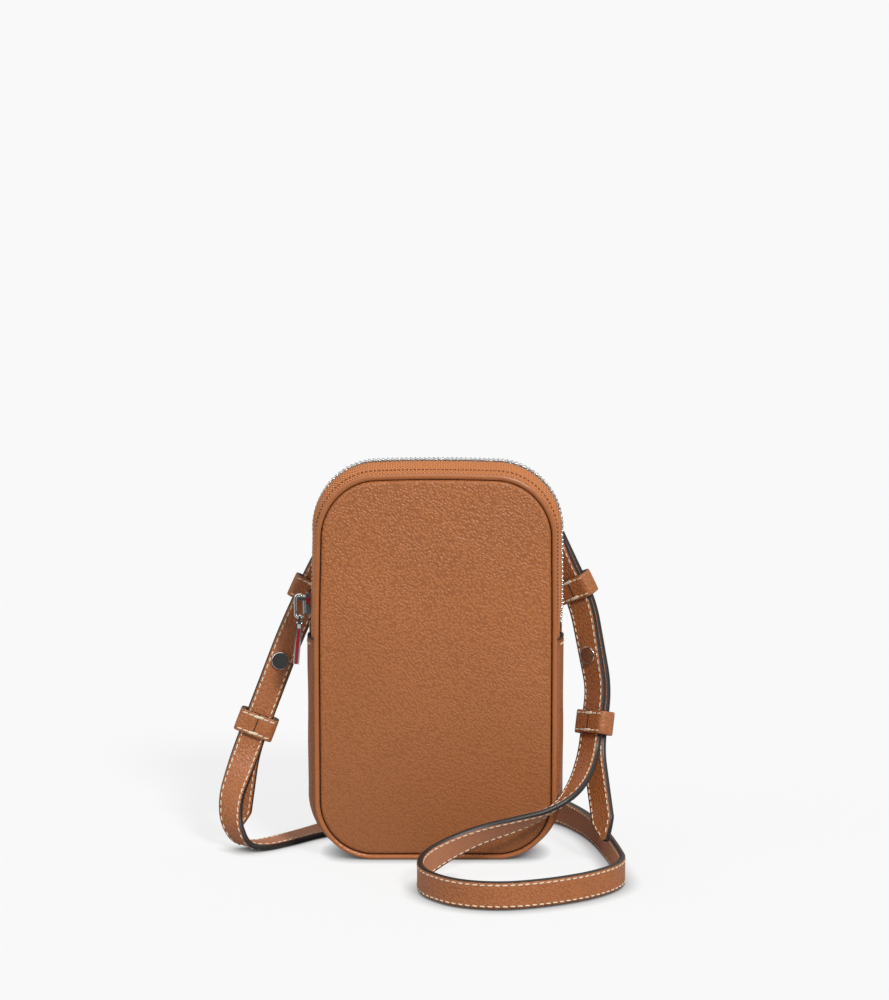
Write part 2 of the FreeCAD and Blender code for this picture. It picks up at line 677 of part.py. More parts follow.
def strap_end(side, end, tip_place):
    """One doubled end with its keepers, stud, ring and the leather holder of the ring.

    Its points above the join move with the ring, which keeps its place at the pouch's corner.
    """
    points = [Vector(*point) for point, edge in end]
    way = -1 if side == "left" else 1
    ring = Vector(way * (HALF_WIDTH - size(f"{side}_ring_inset")), size("half_depth") + size("ring_setback"),
                  SEAM_HIGH - size(f"{side}_ring_drop"))
    shift = ring - points[-1]
    points = points[:1] + [point + shift for point in points[1:]]
    edges = [unit(Vector(*edge)) for point, edge in end]
    across = Vector(0, 1, 0).cross(points[-1] - points[-2])
    edges[-1] = unit(across if across.dot(edges[-1]) > 0 else across * -1)
    climb = with_edges(rounded_route(points, END_ARC_SHARE), edges)
    rise = climb[-1][1]
    bar_edge = climb[-1][2]
    ring_face = towards_front(rise, bar_edge)
    bar = points[-1] - ring_face * FOLD_RADIUS
    fold = []
    for step in range(1, FOLD_STEPS):
        angle = step / FOLD_STEPS * math.pi
        outward = ring_face * math.cos(angle) + rise * math.sin(angle)
        heading = rise * math.cos(angle) - ring_face * math.sin(angle)
        fold.append((bar + outward * FOLD_RADIUS, heading, bar_edge))
    join_point = points[0]
    up = unit(points[1] - join_point)
    straight_edge = climb[0][2]
    face = towards_front(up, straight_edge)
    lead_point = join_point - up * size("end_lead")
    tail_low = lead_point - face * LAYER_STEP
    tip = Vector(*tip_place)
    tip_start = tip + unit(tail_low - tip) * size("tip_length")
    tail_points = [bar - ring_face * FOLD_RADIUS]
    for number in range(len(points) - 2, 0, -1):
        mean = unit(points[number + 1] - points[number]) + unit(points[number] - points[number - 1])
        tail_points.append(points[number] - towards_front(mean, edges[number]) * LAYER_STEP)
    tail_points += [tail_low, tip_start]
    tail = with_edges(rounded_route(tail_points, END_ARC_SHARE), edges[::-1] + edges[:1])
    tail.append((tip, tail[-1][1], tail[-1][2]))
    framed = climb + fold + tail
    widths = [size("strap_width")] * (len(framed) - 1) + [size("tip_width")]
    leather = strip(framed, widths)

    stud_run, stud_share = STUD_SHARES[side]
    stud_climb = points[stud_run + 1] - points[stud_run]
    stud_point = points[stud_run] + stud_climb * stud_share
    stud_edge = edge_at(edges, stud_run + stud_share)
    stud_face = towards_front(stud_climb, stud_edge)
    hole_radius = size("post_diameter") / 2 + size("post_play")
    drill_start = stud_point + stud_face * size("overrun")
    drill = Part.makeCylinder(hole_radius, LAYER_STEP + 2 * size("overrun"), drill_start, stud_face * -1)
    add_shape(f"strap_end_{side}", leather.cut(drill))
    cap_point = stud_point + stud_face * (size("strap_thickness") / 2)
    stud(side, axes_at(cap_point, stud_climb.cross(stud_face), stud_climb))
    for level, (run, share) in KEEPER_SHARES[side].items():
        slide = unit(points[run + 1] - points[run])
        edge = edge_at(edges, run + share)
        middle = points[run] + (points[run + 1] - points[run]) * share
        middle -= towards_front(slide, edge) * (LAYER_STEP / 2)
        keeper(f"keeper_{side}_{level}", axes_at(middle, edge - slide * edge.dot(slide), slide))
        print(f"keeper_{side}_{level} slides along", [round(part, 4) for part in slide])
    ring_and_holder(side, bar, rise)
    return [(join_point, straight_edge), (lead_point, straight_edge)]


def keeper(label, place):
    """A leather loop round both layers, open along its own Y direction."""
    body = new_body(label)
    frame = new_sketch(body, "XZ_Plane", "0 - keeper_length / 2")
    half = "strap_width / 2 + keeper_slack"
    high = "strap_thickness + layer_space / 2 + keeper_play"
    rounded_loop(frame, f"{half} + keeper_wall", f"0 - ( {high} + keeper_wall )", f"{high} + keeper_wall",
                 "keeper_wall")
    rounded_loop(frame, half, f"0 - ( {high} )", high, "keeper_wall / 2")
    pad(body, frame, "keeper_length")
    body.Placement = place


def upright(name, radius, height, start):
    rod = doc.addObject("Part::Cylinder", name)
    rod.setExpression("Radius", cells(radius))
    rod.setExpression("Height", cells(height))
    rod.setExpression("Placement.Base.z", cells(start))
    return rod


def stud(side, place):
    """A flat cap with a hollow post, and the screw that closes it from behind; Z points out of the cap."""
    depth = "( 2 * strap_thickness + layer_space + 2 * seat_gap )"
    cap = upright("cap", "stud_diameter / 2", "stud_cap", "seat_gap")
    post = upright("post", "post_diameter / 2", depth, f"seat_gap - {depth}")
    bore = upright("bore", "screw_diameter / 2 + post_play", f"{depth}", f"seat_gap - {depth}")
    cap_and_post = joined("cap_and_post", [cap, post])
    head = upright("head", "screw_head / 2", "screw_cap", f"0 - {depth} - screw_cap + seat_gap")
    shank = upright("shank", "screw_diameter / 2", f"{depth}", f"0 - {depth}")
    pieces = (
        keep(f"stud_{side}", cut_out(f"stud_{side}", cap_and_post, bore)),
        keep(f"stud_screw_{side}", joined(f"stud_screw_{side}", [head, shank])),
    )
    doc.recompute()
    for piece in pieces:
        piece.Placement = place


def ring_and_holder(side, bar, rise):
    """The metal ring in the strap's fold, and the leather tab that holds it on the back panel."""
    barrel = "( ring_wire / 2 + ring_play + holder_skin )"
    climb = unit(Vector(rise.x, 0, rise.z))
    back = Vector(0, 1, 0)
    across = climb.cross(back)
    barrel_depth = worked_out(f"{PANEL_FACE} + panel_thickness + layer_gap + {barrel}")
    lean = barrel_depth - bar.y
    flat_reach = math.sqrt(size("ring_height") ** 2 - lean ** 2)
    barrel_point = bar + climb * flat_reach + back * lean

    body = new_body(f"strap_ring_{side}")
    frame = new_sketch(body, "XY_Plane", "0 - ring_wire / 2")
    half = "strap_width / 2 + ring_side_play"
    rounded_loop(frame, f"{half} + ring_wire", "0 - ring_wire / 2", "ring_height + ring_wire / 2",
                 "ring_corner + ring_wire")
    rounded_loop(frame, half, "ring_wire / 2", "ring_height - ring_wire / 2", "ring_corner")
    base = pad(body, frame, "ring_wire")
    fillet(body, base, "ring_fillet", lambda box: box.ZLength < size("ring_fillet") / 2)
    body.Placement = axes_at(bar, across, barrel_point - bar)

    width = "( strap_width - 2 * holder_side_play )"
    plate = block("plate", (width, "holder_length", "holder_thickness"),
                  (f"0 - {width} / 2", "0", f"0 - {barrel}"))
    roll = along_x("roll", barrel, f"0 - {width} / 2", width, "0", "0")
    bore = along_x("bore", "ring_wire / 2 + ring_play", f"0 - {width} / 2 - overrun",
                   f"{width} + 2 * overrun", "0", "0")
    leather = joined("leather", [plate, roll])
    holder = keep(f"ring_holder_{side}", cut_out(f"ring_holder_{side}", leather, bore))
    doc.recompute()
    holder.Placement = axes_at(barrel_point, across, climb)


left_lead = strap_end("left", LEFT_END, LEFT_TIP)
right_lead = strap_end("right", RIGHT_END, RIGHT_TIP)
between = [(Vector(*point), unit(Vector(*edge))) for point, edge in ROUTE]
route = right_lead + between + left_lead[::-1]
route_points = [point for point, edge in route]
route_edges = [edge for point, edge in route]
free_run = with_edges(rounded_route(route_points, ROUTE_ARC_SHARE, "free run"), route_edges)
add_shape("strap_free_run", strip(free_run, [size("strap_width")] * len(free_run)))


# Every object and every sub-part has to be sound before anything is written

doc.recompute()
faulty = [thing.Label for thing in doc.Objects if "Invalid" in thing.State or "Error" in thing.State]
for part in subparts:
    if part.Shape.isNull() or not part.Shape.isValid() or not part.Shape.Solids:
        faulty.append(part.Label)
if faulty:
    raise RuntimeError("unsound: " + ", ".join(faulty))
os.makedirs("parts", exist_ok=True)
for part in subparts:
    part.Shape.exportStep(f"parts/{part.Label}.step")
print(len(subparts), "sub-parts written")
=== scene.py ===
import bmesh
import bpy
import json
import math
import numpy as np
from mathutils import Matrix, Vector, noise

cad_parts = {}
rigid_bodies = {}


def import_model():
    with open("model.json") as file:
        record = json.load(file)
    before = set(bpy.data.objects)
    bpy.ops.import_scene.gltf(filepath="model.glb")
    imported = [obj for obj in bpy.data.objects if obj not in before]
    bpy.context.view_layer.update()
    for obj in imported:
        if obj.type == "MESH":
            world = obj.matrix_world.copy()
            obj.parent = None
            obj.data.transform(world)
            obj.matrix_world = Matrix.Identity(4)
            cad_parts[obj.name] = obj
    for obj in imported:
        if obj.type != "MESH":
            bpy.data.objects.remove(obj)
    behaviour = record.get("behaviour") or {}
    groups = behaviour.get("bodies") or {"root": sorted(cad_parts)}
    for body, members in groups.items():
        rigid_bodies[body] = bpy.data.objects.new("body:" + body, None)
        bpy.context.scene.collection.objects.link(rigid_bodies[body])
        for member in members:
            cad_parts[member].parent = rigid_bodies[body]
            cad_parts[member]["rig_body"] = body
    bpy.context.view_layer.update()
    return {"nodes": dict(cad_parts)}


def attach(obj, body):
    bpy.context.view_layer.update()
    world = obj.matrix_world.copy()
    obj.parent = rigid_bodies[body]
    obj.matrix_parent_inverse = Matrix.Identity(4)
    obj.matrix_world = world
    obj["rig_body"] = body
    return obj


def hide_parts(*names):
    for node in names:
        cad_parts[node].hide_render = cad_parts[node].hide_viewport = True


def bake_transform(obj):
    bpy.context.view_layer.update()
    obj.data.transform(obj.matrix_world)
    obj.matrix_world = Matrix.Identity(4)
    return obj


# A grained leather phone pouch on a pale floor, its stitched strap looped in front.
# Lengths below are in millimetres; meshes are written in metres.

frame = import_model()
nodes = frame["nodes"]
MM = 0.001
BODY = "pouch"


# Materials

def paint(name, colour, roughness, metallic=0.0):
    """A principled material; gives back the material, its tree and its shader."""
    mat = bpy.data.materials.new(name)
    mat.use_nodes = True
    shader = mat.node_tree.nodes["Principled BSDF"]
    shader.inputs["Base Color"].default_value = (*colour, 1)
    shader.inputs["Roughness"].default_value = roughness
    shader.inputs["Metallic"].default_value = metallic
    return mat, mat.node_tree, shader


def add(tree, kind, **settings):
    node = tree.nodes.new(kind)
    for key, value in settings.items():
        if key in node.inputs:
            node.inputs[key].default_value = value
        else:
            setattr(node, key, value)
    return node


def own_place(tree):
    return tree.nodes.new("ShaderNodeTexCoord").outputs["Object"]


def noise_of(tree, scale, detail=3.0, roughness=0.55):
    node = add(tree, "ShaderNodeTexNoise", Scale=scale, Detail=detail, Roughness=roughness)
    tree.links.new(own_place(tree), node.inputs["Vector"])
    return node.outputs["Fac"]


def between(tree, fac, low, high, from_low=0.3, from_high=0.7):
    node = add(tree, "ShaderNodeMapRange")
    node.inputs["From Min"].default_value = from_low
    node.inputs["From Max"].default_value = from_high
    node.inputs["To Min"].default_value = low
    node.inputs["To Max"].default_value = high
    tree.links.new(fac, node.inputs["Value"])
    return node.outputs["Result"]


def mixed(tree, fac, one, two):
    node = add(tree, "ShaderNodeMix", data_type="RGBA")
    tree.links.new(fac, node.inputs[0])
    for socket, colour in ((node.inputs[6], one), (node.inputs[7], two)):
        if isinstance(colour, tuple):
            socket.default_value = (*colour, 1)
        else:
            tree.links.new(colour, socket)
    return node.outputs[2]


def bumped(tree, shader, height, strength, distance):
    node = add(tree, "ShaderNodeBump", Strength=strength, Distance=distance * MM)
    tree.links.new(height, node.inputs["Height"])
    tree.links.new(node.outputs["Normal"], shader.inputs["Normal"])
    return node


def summed(tree, one, two, share):
    node = add(tree, "ShaderNodeMath", operation="MULTIPLY_ADD")
    tree.links.new(two, node.inputs[0])
    node.inputs[1].default_value = share
    tree.links.new(one, node.inputs[2])
    return node.outputs[0]


GRAIN_SLANT = 0.85
# darkening factor for the painted shade towards the floor
LOW_SHADE = 0.69


def leather(name, colour, shade, pebble, depth, roughness=0.38, crease=0.5, burnished_and_shaded=False):
    """Pebbled leather: long cells for the grain, swayed by soft waves, random patches of a slightly darker
    tone, and painted shade in the creases between the cells.

    A piece so marked is smoother towards the floor, and its colour there is darker: painted shade.
    """
    mat, tree, shader = paint(name, colour, roughness)
    place = own_place(tree)
    shifted = place
    for scale, reach in ((24.0, 0.007), (pebble * 0.45, 0.0006)):
        wave = add(tree, "ShaderNodeTexNoise", Scale=scale, Detail=1.5)
        tree.links.new(place, wave.inputs["Vector"])
        shift = add(tree, "ShaderNodeVectorMath", operation="MULTIPLY_ADD")
        tree.links.new(wave.outputs["Color"], shift.inputs[0])
        shift.inputs[1].default_value = (reach, reach, reach)
        tree.links.new(shifted, shift.inputs[2])
        shifted = shift.outputs[0]
    stretch = add(tree, "ShaderNodeMapping", vector_type="TEXTURE", Rotation=(0, GRAIN_SLANT, 0),
                  Scale=(1.3, 1.0, 0.95))
    tree.links.new(shifted, stretch.inputs["Vector"])
    cells = add(tree, "ShaderNodeTexVoronoi", feature="SMOOTH_F1", Scale=pebble, Smoothness=0.3)
    tree.links.new(stretch.outputs[0], cells.inputs["Vector"])
    grain = between(tree, cells.outputs["Distance"], 1.0, 0.0, 0.05, 0.75)
    height = summed(tree, grain, noise_of(tree, pebble * 2.4, 3.0), 0.12)
    bump = bumped(tree, shader, height, 1.0, depth)
    patches = between(tree, noise_of(tree, 38.0, 4.0), 0.0, 1.0)
    soft = mixed(tree, patches, colour, tuple(c * 0.92 for c in colour))
    # the creases between the cells take the shade colour: painted shade in the hollows of the grain
    low = between(tree, grain, crease, 0.0, 0.05, 0.55)
    final = mixed(tree, low, soft, shade)
    if burnished_and_shaded:
        height_axis = add(tree, "ShaderNodeSeparateXYZ")
        tree.links.new(place, height_axis.inputs[0])
        strength = between(tree, height_axis.outputs["Z"], 0.6, 1.0, 0.02, 0.14)
        tree.links.new(strength, bump.inputs["Strength"])
        # towards the floor the colour is darkened as painted shade, with only half the painted crease shade
        # there
        upper = between(tree, height_axis.outputs["Z"], 0.0, 1.0, 0.0, 0.11)
        shaded_colour = tuple(LOW_SHADE * part for part in colour)
        shaded_crease = tuple(LOW_SHADE * (part + dark) / 2 for part, dark in zip(colour, shade))
        final = mixed(tree, upper, mixed(tree, low, shaded_colour, shaded_crease), final)
    tree.links.new(final, shader.inputs["Base Color"])
    sheen = between(tree, grain, roughness + 0.12, roughness - 0.06, 0.1, 0.8)
    tree.links.new(sheen, shader.inputs["Roughness"])
    shader.inputs["Specular IOR Level"].default_value = 0.5
    return mat


def coated(name, colour, roughness, scale, strength, metallic=0.0, change=0.2):
    """A plain finish with a fine uneven surface."""
    mat, tree, shader = paint(name, colour, roughness, metallic)
    fac = noise_of(tree, scale, 5.0)
    bumped(tree, shader, fac, strength, 0.1)
    darker = tuple(part * (1 - change) for part in colour)
    tree.links.new(mixed(tree, between(tree, fac, 0.0, 1.0), colour, darker), shader.inputs["Base Color"])
    return mat


def woven(name, colour, dark, scale):
    """Cloth: slanting twill ribs crossed by finer ones."""
    mat, tree, shader = paint(name, colour, 0.8)
    place = own_place(tree)
    ribs = []
    for direction, times in (("DIAGONAL", 1.0), ("X", 0.8)):
        wave = add(tree, "ShaderNodeTexWave", wave_type="BANDS", bands_direction=direction,
                   Scale=scale * times, Distortion=1.2, Detail=1.0)
        tree.links.new(place, wave.inputs["Vector"])
        ribs.append(wave.outputs["Fac"])
    height = summed(tree, ribs[0], ribs[1], 0.5)
    bumped(tree, shader, height, 0.9, 0.30)
    raised = between(tree, height, 0.0, 1.0, 0.2, 1.2)
    tree.links.new(mixed(tree, raised, dark, colour), shader.inputs["Base Color"])
    return mat


PANEL = leather("pebbled_leather", (0.440, 0.146, 0.040), (0.225, 0.065, 0.017), 1020.0, 0.30, 0.42,
                burnished_and_shaded=True)
TRIM = leather("trim_leather", (0.420, 0.142, 0.044), (0.280, 0.088, 0.028), 1100.0, 0.08, 0.28, 0.3)
SIDE = leather("gusset_leather", (0.345, 0.115, 0.037), (0.205, 0.062, 0.020), 1000.0, 0.20)
STRAP = leather("strap_leather", (0.415, 0.140, 0.043), (0.230, 0.070, 0.021), 1150.0, 0.20)
INSIDE = leather("strap_inner_face", (0.470, 0.190, 0.092), (0.330, 0.122, 0.056), 1700.0, 0.08, 0.62, 0.3)
EDGE = coated("painted_edge", (0.020, 0.016, 0.014), 0.42, 900.0, 0.25)
# near-black colour for painted shadow in seam grooves and keeper joints
SEAM_SHADOW = coated("seam_shadow", (0.050, 0.018, 0.009), 0.8, 700.0, 0.3)
THREAD = coated("cream_thread", (0.830, 0.710, 0.530), 0.72, 2600.0, 0.8, change=0.25)
TAN_THREAD = coated("tan_thread", (0.170, 0.048, 0.020), 0.75, 2600.0, 0.7)
TAPE = woven("woven_tape", (0.730, 0.268, 0.086), (0.330, 0.100, 0.030), 360.0)
LINING = woven("lining_cloth", (0.290, 0.150, 0.090), (0.200, 0.100, 0.060), 520.0)
BOARD = coated("stiffening_board", (0.300, 0.240, 0.190), 0.8, 300.0, 0.4)
METAL = coated("polished_metal", (0.780, 0.775, 0.765), 0.10, 260.0, 0.02, 1.0, 0.04)
TEETH = coated("zip_metal", (0.700, 0.690, 0.675), 0.22, 800.0, 0.06, 1.0, 0.10)
CRIMSON = coated("crimson_enamel", (0.330, 0.010, 0.020), 0.22, 500.0, 0.03)


# Meshes

def piece(name, points, faces, materials, kinds=None, body=BODY, replaced=(), slot=None):
    """A mesh object from millimetre points; it rides with a body, unless that is None."""
    mesh = bpy.data.meshes.new(name)
    mesh.from_pydata((np.asarray(points, float) * MM).tolist(), [], [list(face) for face in faces])
    for mat in materials:
        mesh.materials.append(mat)
    if kinds is not None:
        mesh.polygons.foreach_set("material_index", np.asarray(kinds, np.int32))
    mesh.polygons.foreach_set("use_smooth", np.full(len(mesh.polygons), True))
    mesh.update()
    obj = bpy.data.objects.new(name, mesh)
    bpy.context.scene.collection.objects.link(obj)
    if body:
        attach(obj, body)
    if replaced:
        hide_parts(*replaced)
    return obj


class Pile:
    """Collects several simple shapes for one mesh."""

    def __init__(self):
        self.points = []
        self.faces = []
        self.kinds = []
        self.count = 0

    def put(self, points, faces, kind=0):
        points = np.asarray(points, float)
        self.points.append(points)
        self.faces += [[index + self.count for index in face] for face in faces]
        self.kinds += [kind] * len(faces) if np.isscalar(kind) else list(kind)
        self.count += len(points)

    def make(self, name, materials, **where):
        return piece(name, np.concatenate(self.points), self.faces, materials, self.kinds, **where)


def grid_faces(rows, columns, round_rows=False, round_columns=False):
    faces = []
    for row in range(rows if round_rows else rows - 1):
        for column in range(columns if round_columns else columns - 1):
            after = (row + 1) % rows
            beside = (column + 1) % columns
            faces.append((row * columns + column, row * columns + beside,
                          after * columns + beside, after * columns + column))
    return faces


def unit(vector):
    vector = np.asarray(vector, float)
    return vector / np.linalg.norm(vector, axis=-1, keepdims=True)


def capsule(length, radius, flat=0.8, sides=7):
    """A thread stitch along its own X direction."""
    ends = ((-0.5, 0.2), (-0.46, 0.62), (-0.36, 0.95), (0.0, 1.05), (0.36, 0.95), (0.46, 0.62), (0.5, 0.2))
    points = []
    for place, swell in ends:
        for side in range(sides):
            angle = 2 * math.pi * side / sides
            points.append((place * length, radius * swell * math.cos(angle),
                           radius * swell * flat * math.sin(angle)))
    faces = grid_faces(len(ends), sides, False, True)
    faces += [tuple(range(sides))[::-1], tuple(range((len(ends) - 1) * sides, len(ends) * sides))]
    return np.array(points), faces


def set_down(shape, centre, along, out, pile, kind, slant=0.0):
    """Put a stitch on a surface: along its row, out of the surface, turned by a small slant."""
    points, faces = shape
    x_axis = unit(along)
    z_axis = unit(np.asarray(out) - x_axis * np.dot(out, x_axis))
    y_axis = np.cross(z_axis, x_axis)
    turned_x = x_axis * math.cos(slant) + y_axis * math.sin(slant)
    turned_y = y_axis * math.cos(slant) - x_axis * math.sin(slant)
    pile.put(np.asarray(centre) + points @ np.array([turned_x, turned_y, z_axis]), faces, kind)


# The seam outline of the pouch, run through from the middle of the base by way of the left side

HALF_WIDTH = 51.8
CORNER = 25.0
LOW = 1.2
HIGH = 170.6
HALF_DEPTH = 13.0
BAND_HALF = 11.7
PIPING = 1.2
ZIP_END = 98.0
SIDE_CROWN = 4.3
TOP_CROWN = 6.9
BASE_CROWN = 2.4
FLAT = HALF_WIDTH - CORNER
ARC = CORNER * math.pi / 2
SIDE_RUN = HIGH - LOW - 2 * CORNER
ROUND = 4 * FLAT + 4 * ARC + 2 * SIDE_RUN
ZIP_START = FLAT + ARC + ZIP_END - LOW - CORNER


def outline_at(distance):
    """Point and outward direction on the plain outline, in the plane of the panel."""
    distance = distance % ROUND
    mirror = 1
    if distance > ROUND / 2:
        distance = ROUND - distance
        mirror = -1
    if distance <= FLAT:
        x, z, out_x, out_z = -distance, LOW, 0, -1
    elif distance <= FLAT + ARC:
        angle = (distance - FLAT) / CORNER
        out_x, out_z = -math.sin(angle), -math.cos(angle)
        x, z = -FLAT + CORNER * out_x, LOW + CORNER + CORNER * out_z
    elif distance <= FLAT + ARC + SIDE_RUN:
        x, z, out_x, out_z = -HALF_WIDTH, LOW + CORNER + distance - FLAT - ARC, -1, 0
    elif distance <= FLAT + 2 * ARC + SIDE_RUN:
        angle = (distance - FLAT - ARC - SIDE_RUN) / CORNER
        out_x, out_z = -math.cos(angle), math.sin(angle)
        x, z = -FLAT + CORNER * out_x, HIGH - CORNER + CORNER * out_z
    else:
        x, z, out_x, out_z = distance - ROUND / 2, HIGH, 0, 1
    return mirror * x, z, mirror * out_x, out_z


def smooth(low, high, value):
    share = min(max((value - low) / (high - low), 0), 1)
    return share * share * (3 - 2 * share)


def seam_at(distance):
    """The outline as sewn: drawn in a little towards the top, which is slightly arched."""
    x, z, out_x, out_z = outline_at(distance)
    ease = smooth(95, 160, z)
    taper = 1 - (0.022 if x < 0 else 0.008) * ease
    return x * taper, z - ease * (0.35 + 1.9 * (x / HALF_WIDTH) ** 2), out_x, out_z


def crown_at(z, out_x, out_z):
    """Bulge of gusset and tape; the tape stands out most at the top and a little more on the right."""
    more = (TOP_CROWN - SIDE_CROWN) * max(out_z, 0) - (SIDE_CROWN - BASE_CROWN) * max(-out_z, 0)
    return SIDE_CROWN + more + 0.8 * max(out_x, 0) * smooth(100, 115, z)


def swell(share):
    return math.sqrt(max(0.0, 1 - abs(share) ** 2.1))


def ripple(x, y, z, size, reach):
    return noise.noise(Vector((x, y, z)) / size) * reach


def band(start, end, step, shares, drop, wall, floor=False):
    """Points of a bulging band: outer and inner skin as one round profile."""
    count = int(round((end - start) / step)) + 1
    points = []
    for distance in np.linspace(start, end, count):
        x, z, out_x, out_z = seam_at(distance)
        crown = crown_at(z, out_x, out_z)
        for sink, row in ((drop, shares), (drop + wall, shares[::-1])):
            for share in row:
                reach = crown * swell(share) - sink
                reach += ripple(x, share * 9, z, 21.0, 0.22) * swell(share)
                low = sink if floor else -math.inf
                points.append((x + out_x * reach, share * BAND_HALF, max(z + out_z * reach, low)))
    return points, count, 2 * len(shares)


def capped(count, width):
    faces = grid_faces(count, width, False, True)
    return faces + [tuple(range(width)), tuple(range((count - 1) * width, count * width))[::-1]]


# Leather panels, domed a little, with a rolled rim

PANEL_FACE = 14.4
PANEL_INSET = 1.5
PANEL_RIM = 1.5
DOME_REACH = 50
PANEL_RINGS = (1, 0.9985, 0.996, 0.992, 0.987, 0.981, 0.973, 0.962, 0.945, 0.92, 0.88, 0.83, 0.77, 0.7,
               0.62, 0.54, 0.46, 0.38, 0.3, 0.22, 0.14, 0.07)
PANEL_SPOTS = 300
WELT_SPOTS = 320
WELT_SIDES = 14
WELT_RADIUS = PIPING - 0.1
GROOVE_RADIUS = 0.75
GROOVE_SINK = 1.15


def outline_depth(x, z, half, low, high, radius):
    """Distance of a point inside a rounded rectangle from its rim."""
    across = abs(x) - (half - radius)
    up = abs(z - (low + high) / 2) - ((high - low) / 2 - radius)
    outside = math.hypot(max(across, 0), max(up, 0)) + min(max(across, up), 0)
    return radius - outside


def panel(name, way, replaced, dome, body):
    """A whole panel; way is -1 for the front and 1 for the back."""
    middle = (LOW + HIGH) / 2

    def drawn_in(x, z, out_x, out_z, share):
        return (x - out_x * PANEL_INSET) * share, middle + (z - out_z * PANEL_INSET - middle) * share

    points = []
    for share in PANEL_RINGS:
        for number in range(PANEL_SPOTS):
            distance = number / PANEL_SPOTS * ROUND
            depth = outline_depth(*drawn_in(*outline_at(distance), share), HALF_WIDTH - PANEL_INSET,
                                  LOW + PANEL_INSET, HIGH - PANEL_INSET, CORNER - PANEL_INSET)
            x, z = drawn_in(*seam_at(distance), share)
            roll = PANEL_RIM - math.sqrt(max(0.0, PANEL_RIM ** 2 - max(0.0, PANEL_RIM - depth) ** 2))
            rise = dome * (1 - (1 - min(depth, DOME_REACH) / DOME_REACH) ** 2)
            rise += ripple(x, 0, z, 46.0, 0.55) * min(1, depth / 14)
            rise += ripple(x + 90, 0, z, 17.0, 0.10) * min(1, depth / 9)
            points.append((x, way * (PANEL_FACE + rise - roll), z))
    points.append((0, way * (PANEL_FACE + dome), middle))
    faces = grid_faces(len(PANEL_RINGS), PANEL_SPOTS, False, True)
    last = (len(PANEL_RINGS) - 1) * PANEL_SPOTS
    faces += [(last + n, last + (n + 1) % PANEL_SPOTS, len(points) - 1) for n in range(PANEL_SPOTS)]
    if way > 0:
        faces = [face[::-1] for face in faces]
    return piece(name, points, faces, [PANEL], body=body, replaced=replaced, slot="grained_leather")


def bend_over_mouth(obj):
    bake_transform(obj)


def welt(name, way, replaced, body):
    """The piping, and a dark tube in the seam groove it lies in: a painted shadow of the seam."""
    pile = Pile()
    for radius, sink, kind in ((WELT_RADIUS, 0.0, 0), (GROOVE_RADIUS, GROOVE_SINK, 1)):
        points = []
        for number in range(WELT_SPOTS):
            x, z, out_x, out_z = seam_at(number / WELT_SPOTS * ROUND)
            uneven = 1 + 0.2 * max(out_z, 0) + 0.035 * noise.noise(Vector((x, 30 * way, z)) / 6.0)
            for side in range(WELT_SIDES):
                angle = 2 * math.pi * side / WELT_SIDES
                reach = radius * uneven * math.cos(angle) - sink
                depth = way * (HALF_DEPTH - 0.9 * sink) + radius * uneven * math.sin(angle)
                points.append((x + out_x * reach, depth, z + out_z * reach))
        pile.put(points, grid_faces(WELT_SPOTS, WELT_SIDES, True, True), kind)
    return pile.make(name, [TRIM, SEAM_SHADOW], body=body, replaced=replaced, slot="grained_leather")


bend_over_mouth(panel("front_panel", -1, ("front_panel_lower", "front_panel_upper"), 1.3, None))
panel("back_panel_skin", 1, ("back_panel",), 1.2, BODY)
bend_over_mouth(welt("front_welt", -1, ("front_piping_lower", "front_piping_upper"), None))
welt("back_welt", 1, ("back_piping",), BODY)


# Gusset with painted ends and a row of stitches below each zip end

GUSSET_WALL = 1.4
BAND_STEP = 2.0
LIP_SIDES = 6
gusset_shares = np.linspace(-1, 1, 25).tolist()
gusset_points, gusset_rows, gusset_width = band(-ZIP_START, ZIP_START, BAND_STEP, gusset_shares, 0.0,
                                                GUSSET_WALL, True)
gusset = Pile()
gusset_faces = capped(gusset_rows, gusset_width)
gusset.put(gusset_points, gusset_faces, [0] * (len(gusset_faces) - 2) + [1, 1])
short_stitch = capsule(2.3, 0.33)
for way in (-1, 1):
    for share in (-0.72, -0.48, -0.24, 0.0, 0.24, 0.48, 0.72):
        centre = (way * (HALF_WIDTH + SIDE_CROWN * swell(share) + 0.05), share * BAND_HALF, ZIP_END - 2.3)
        out = (way * 1.0, share * 0.5, 0)
        set_down(short_stitch, centre, (-way * share * 0.6, 1, 0), out, gusset, 2, 0.1)
    lip = []
    for share in gusset_shares:
        lip_x = way * (HALF_WIDTH + SIDE_CROWN * swell(share) - 0.55)
        for side in range(LIP_SIDES):
            angle = 2 * math.pi * side / LIP_SIDES
            lip.append((lip_x + 0.62 * math.cos(angle), share * BAND_HALF,
                        ZIP_END + 0.1 + 0.34 * math.sin(angle)))
    gusset.put(lip, grid_faces(len(gusset_shares), LIP_SIDES, False, True), 1)
gusset.make("gusset_skin", [SIDE, EDGE, THREAD], replaced=("gusset",), slot="grained_leather")


# Zip: tapes with a sewn line, teeth and stops

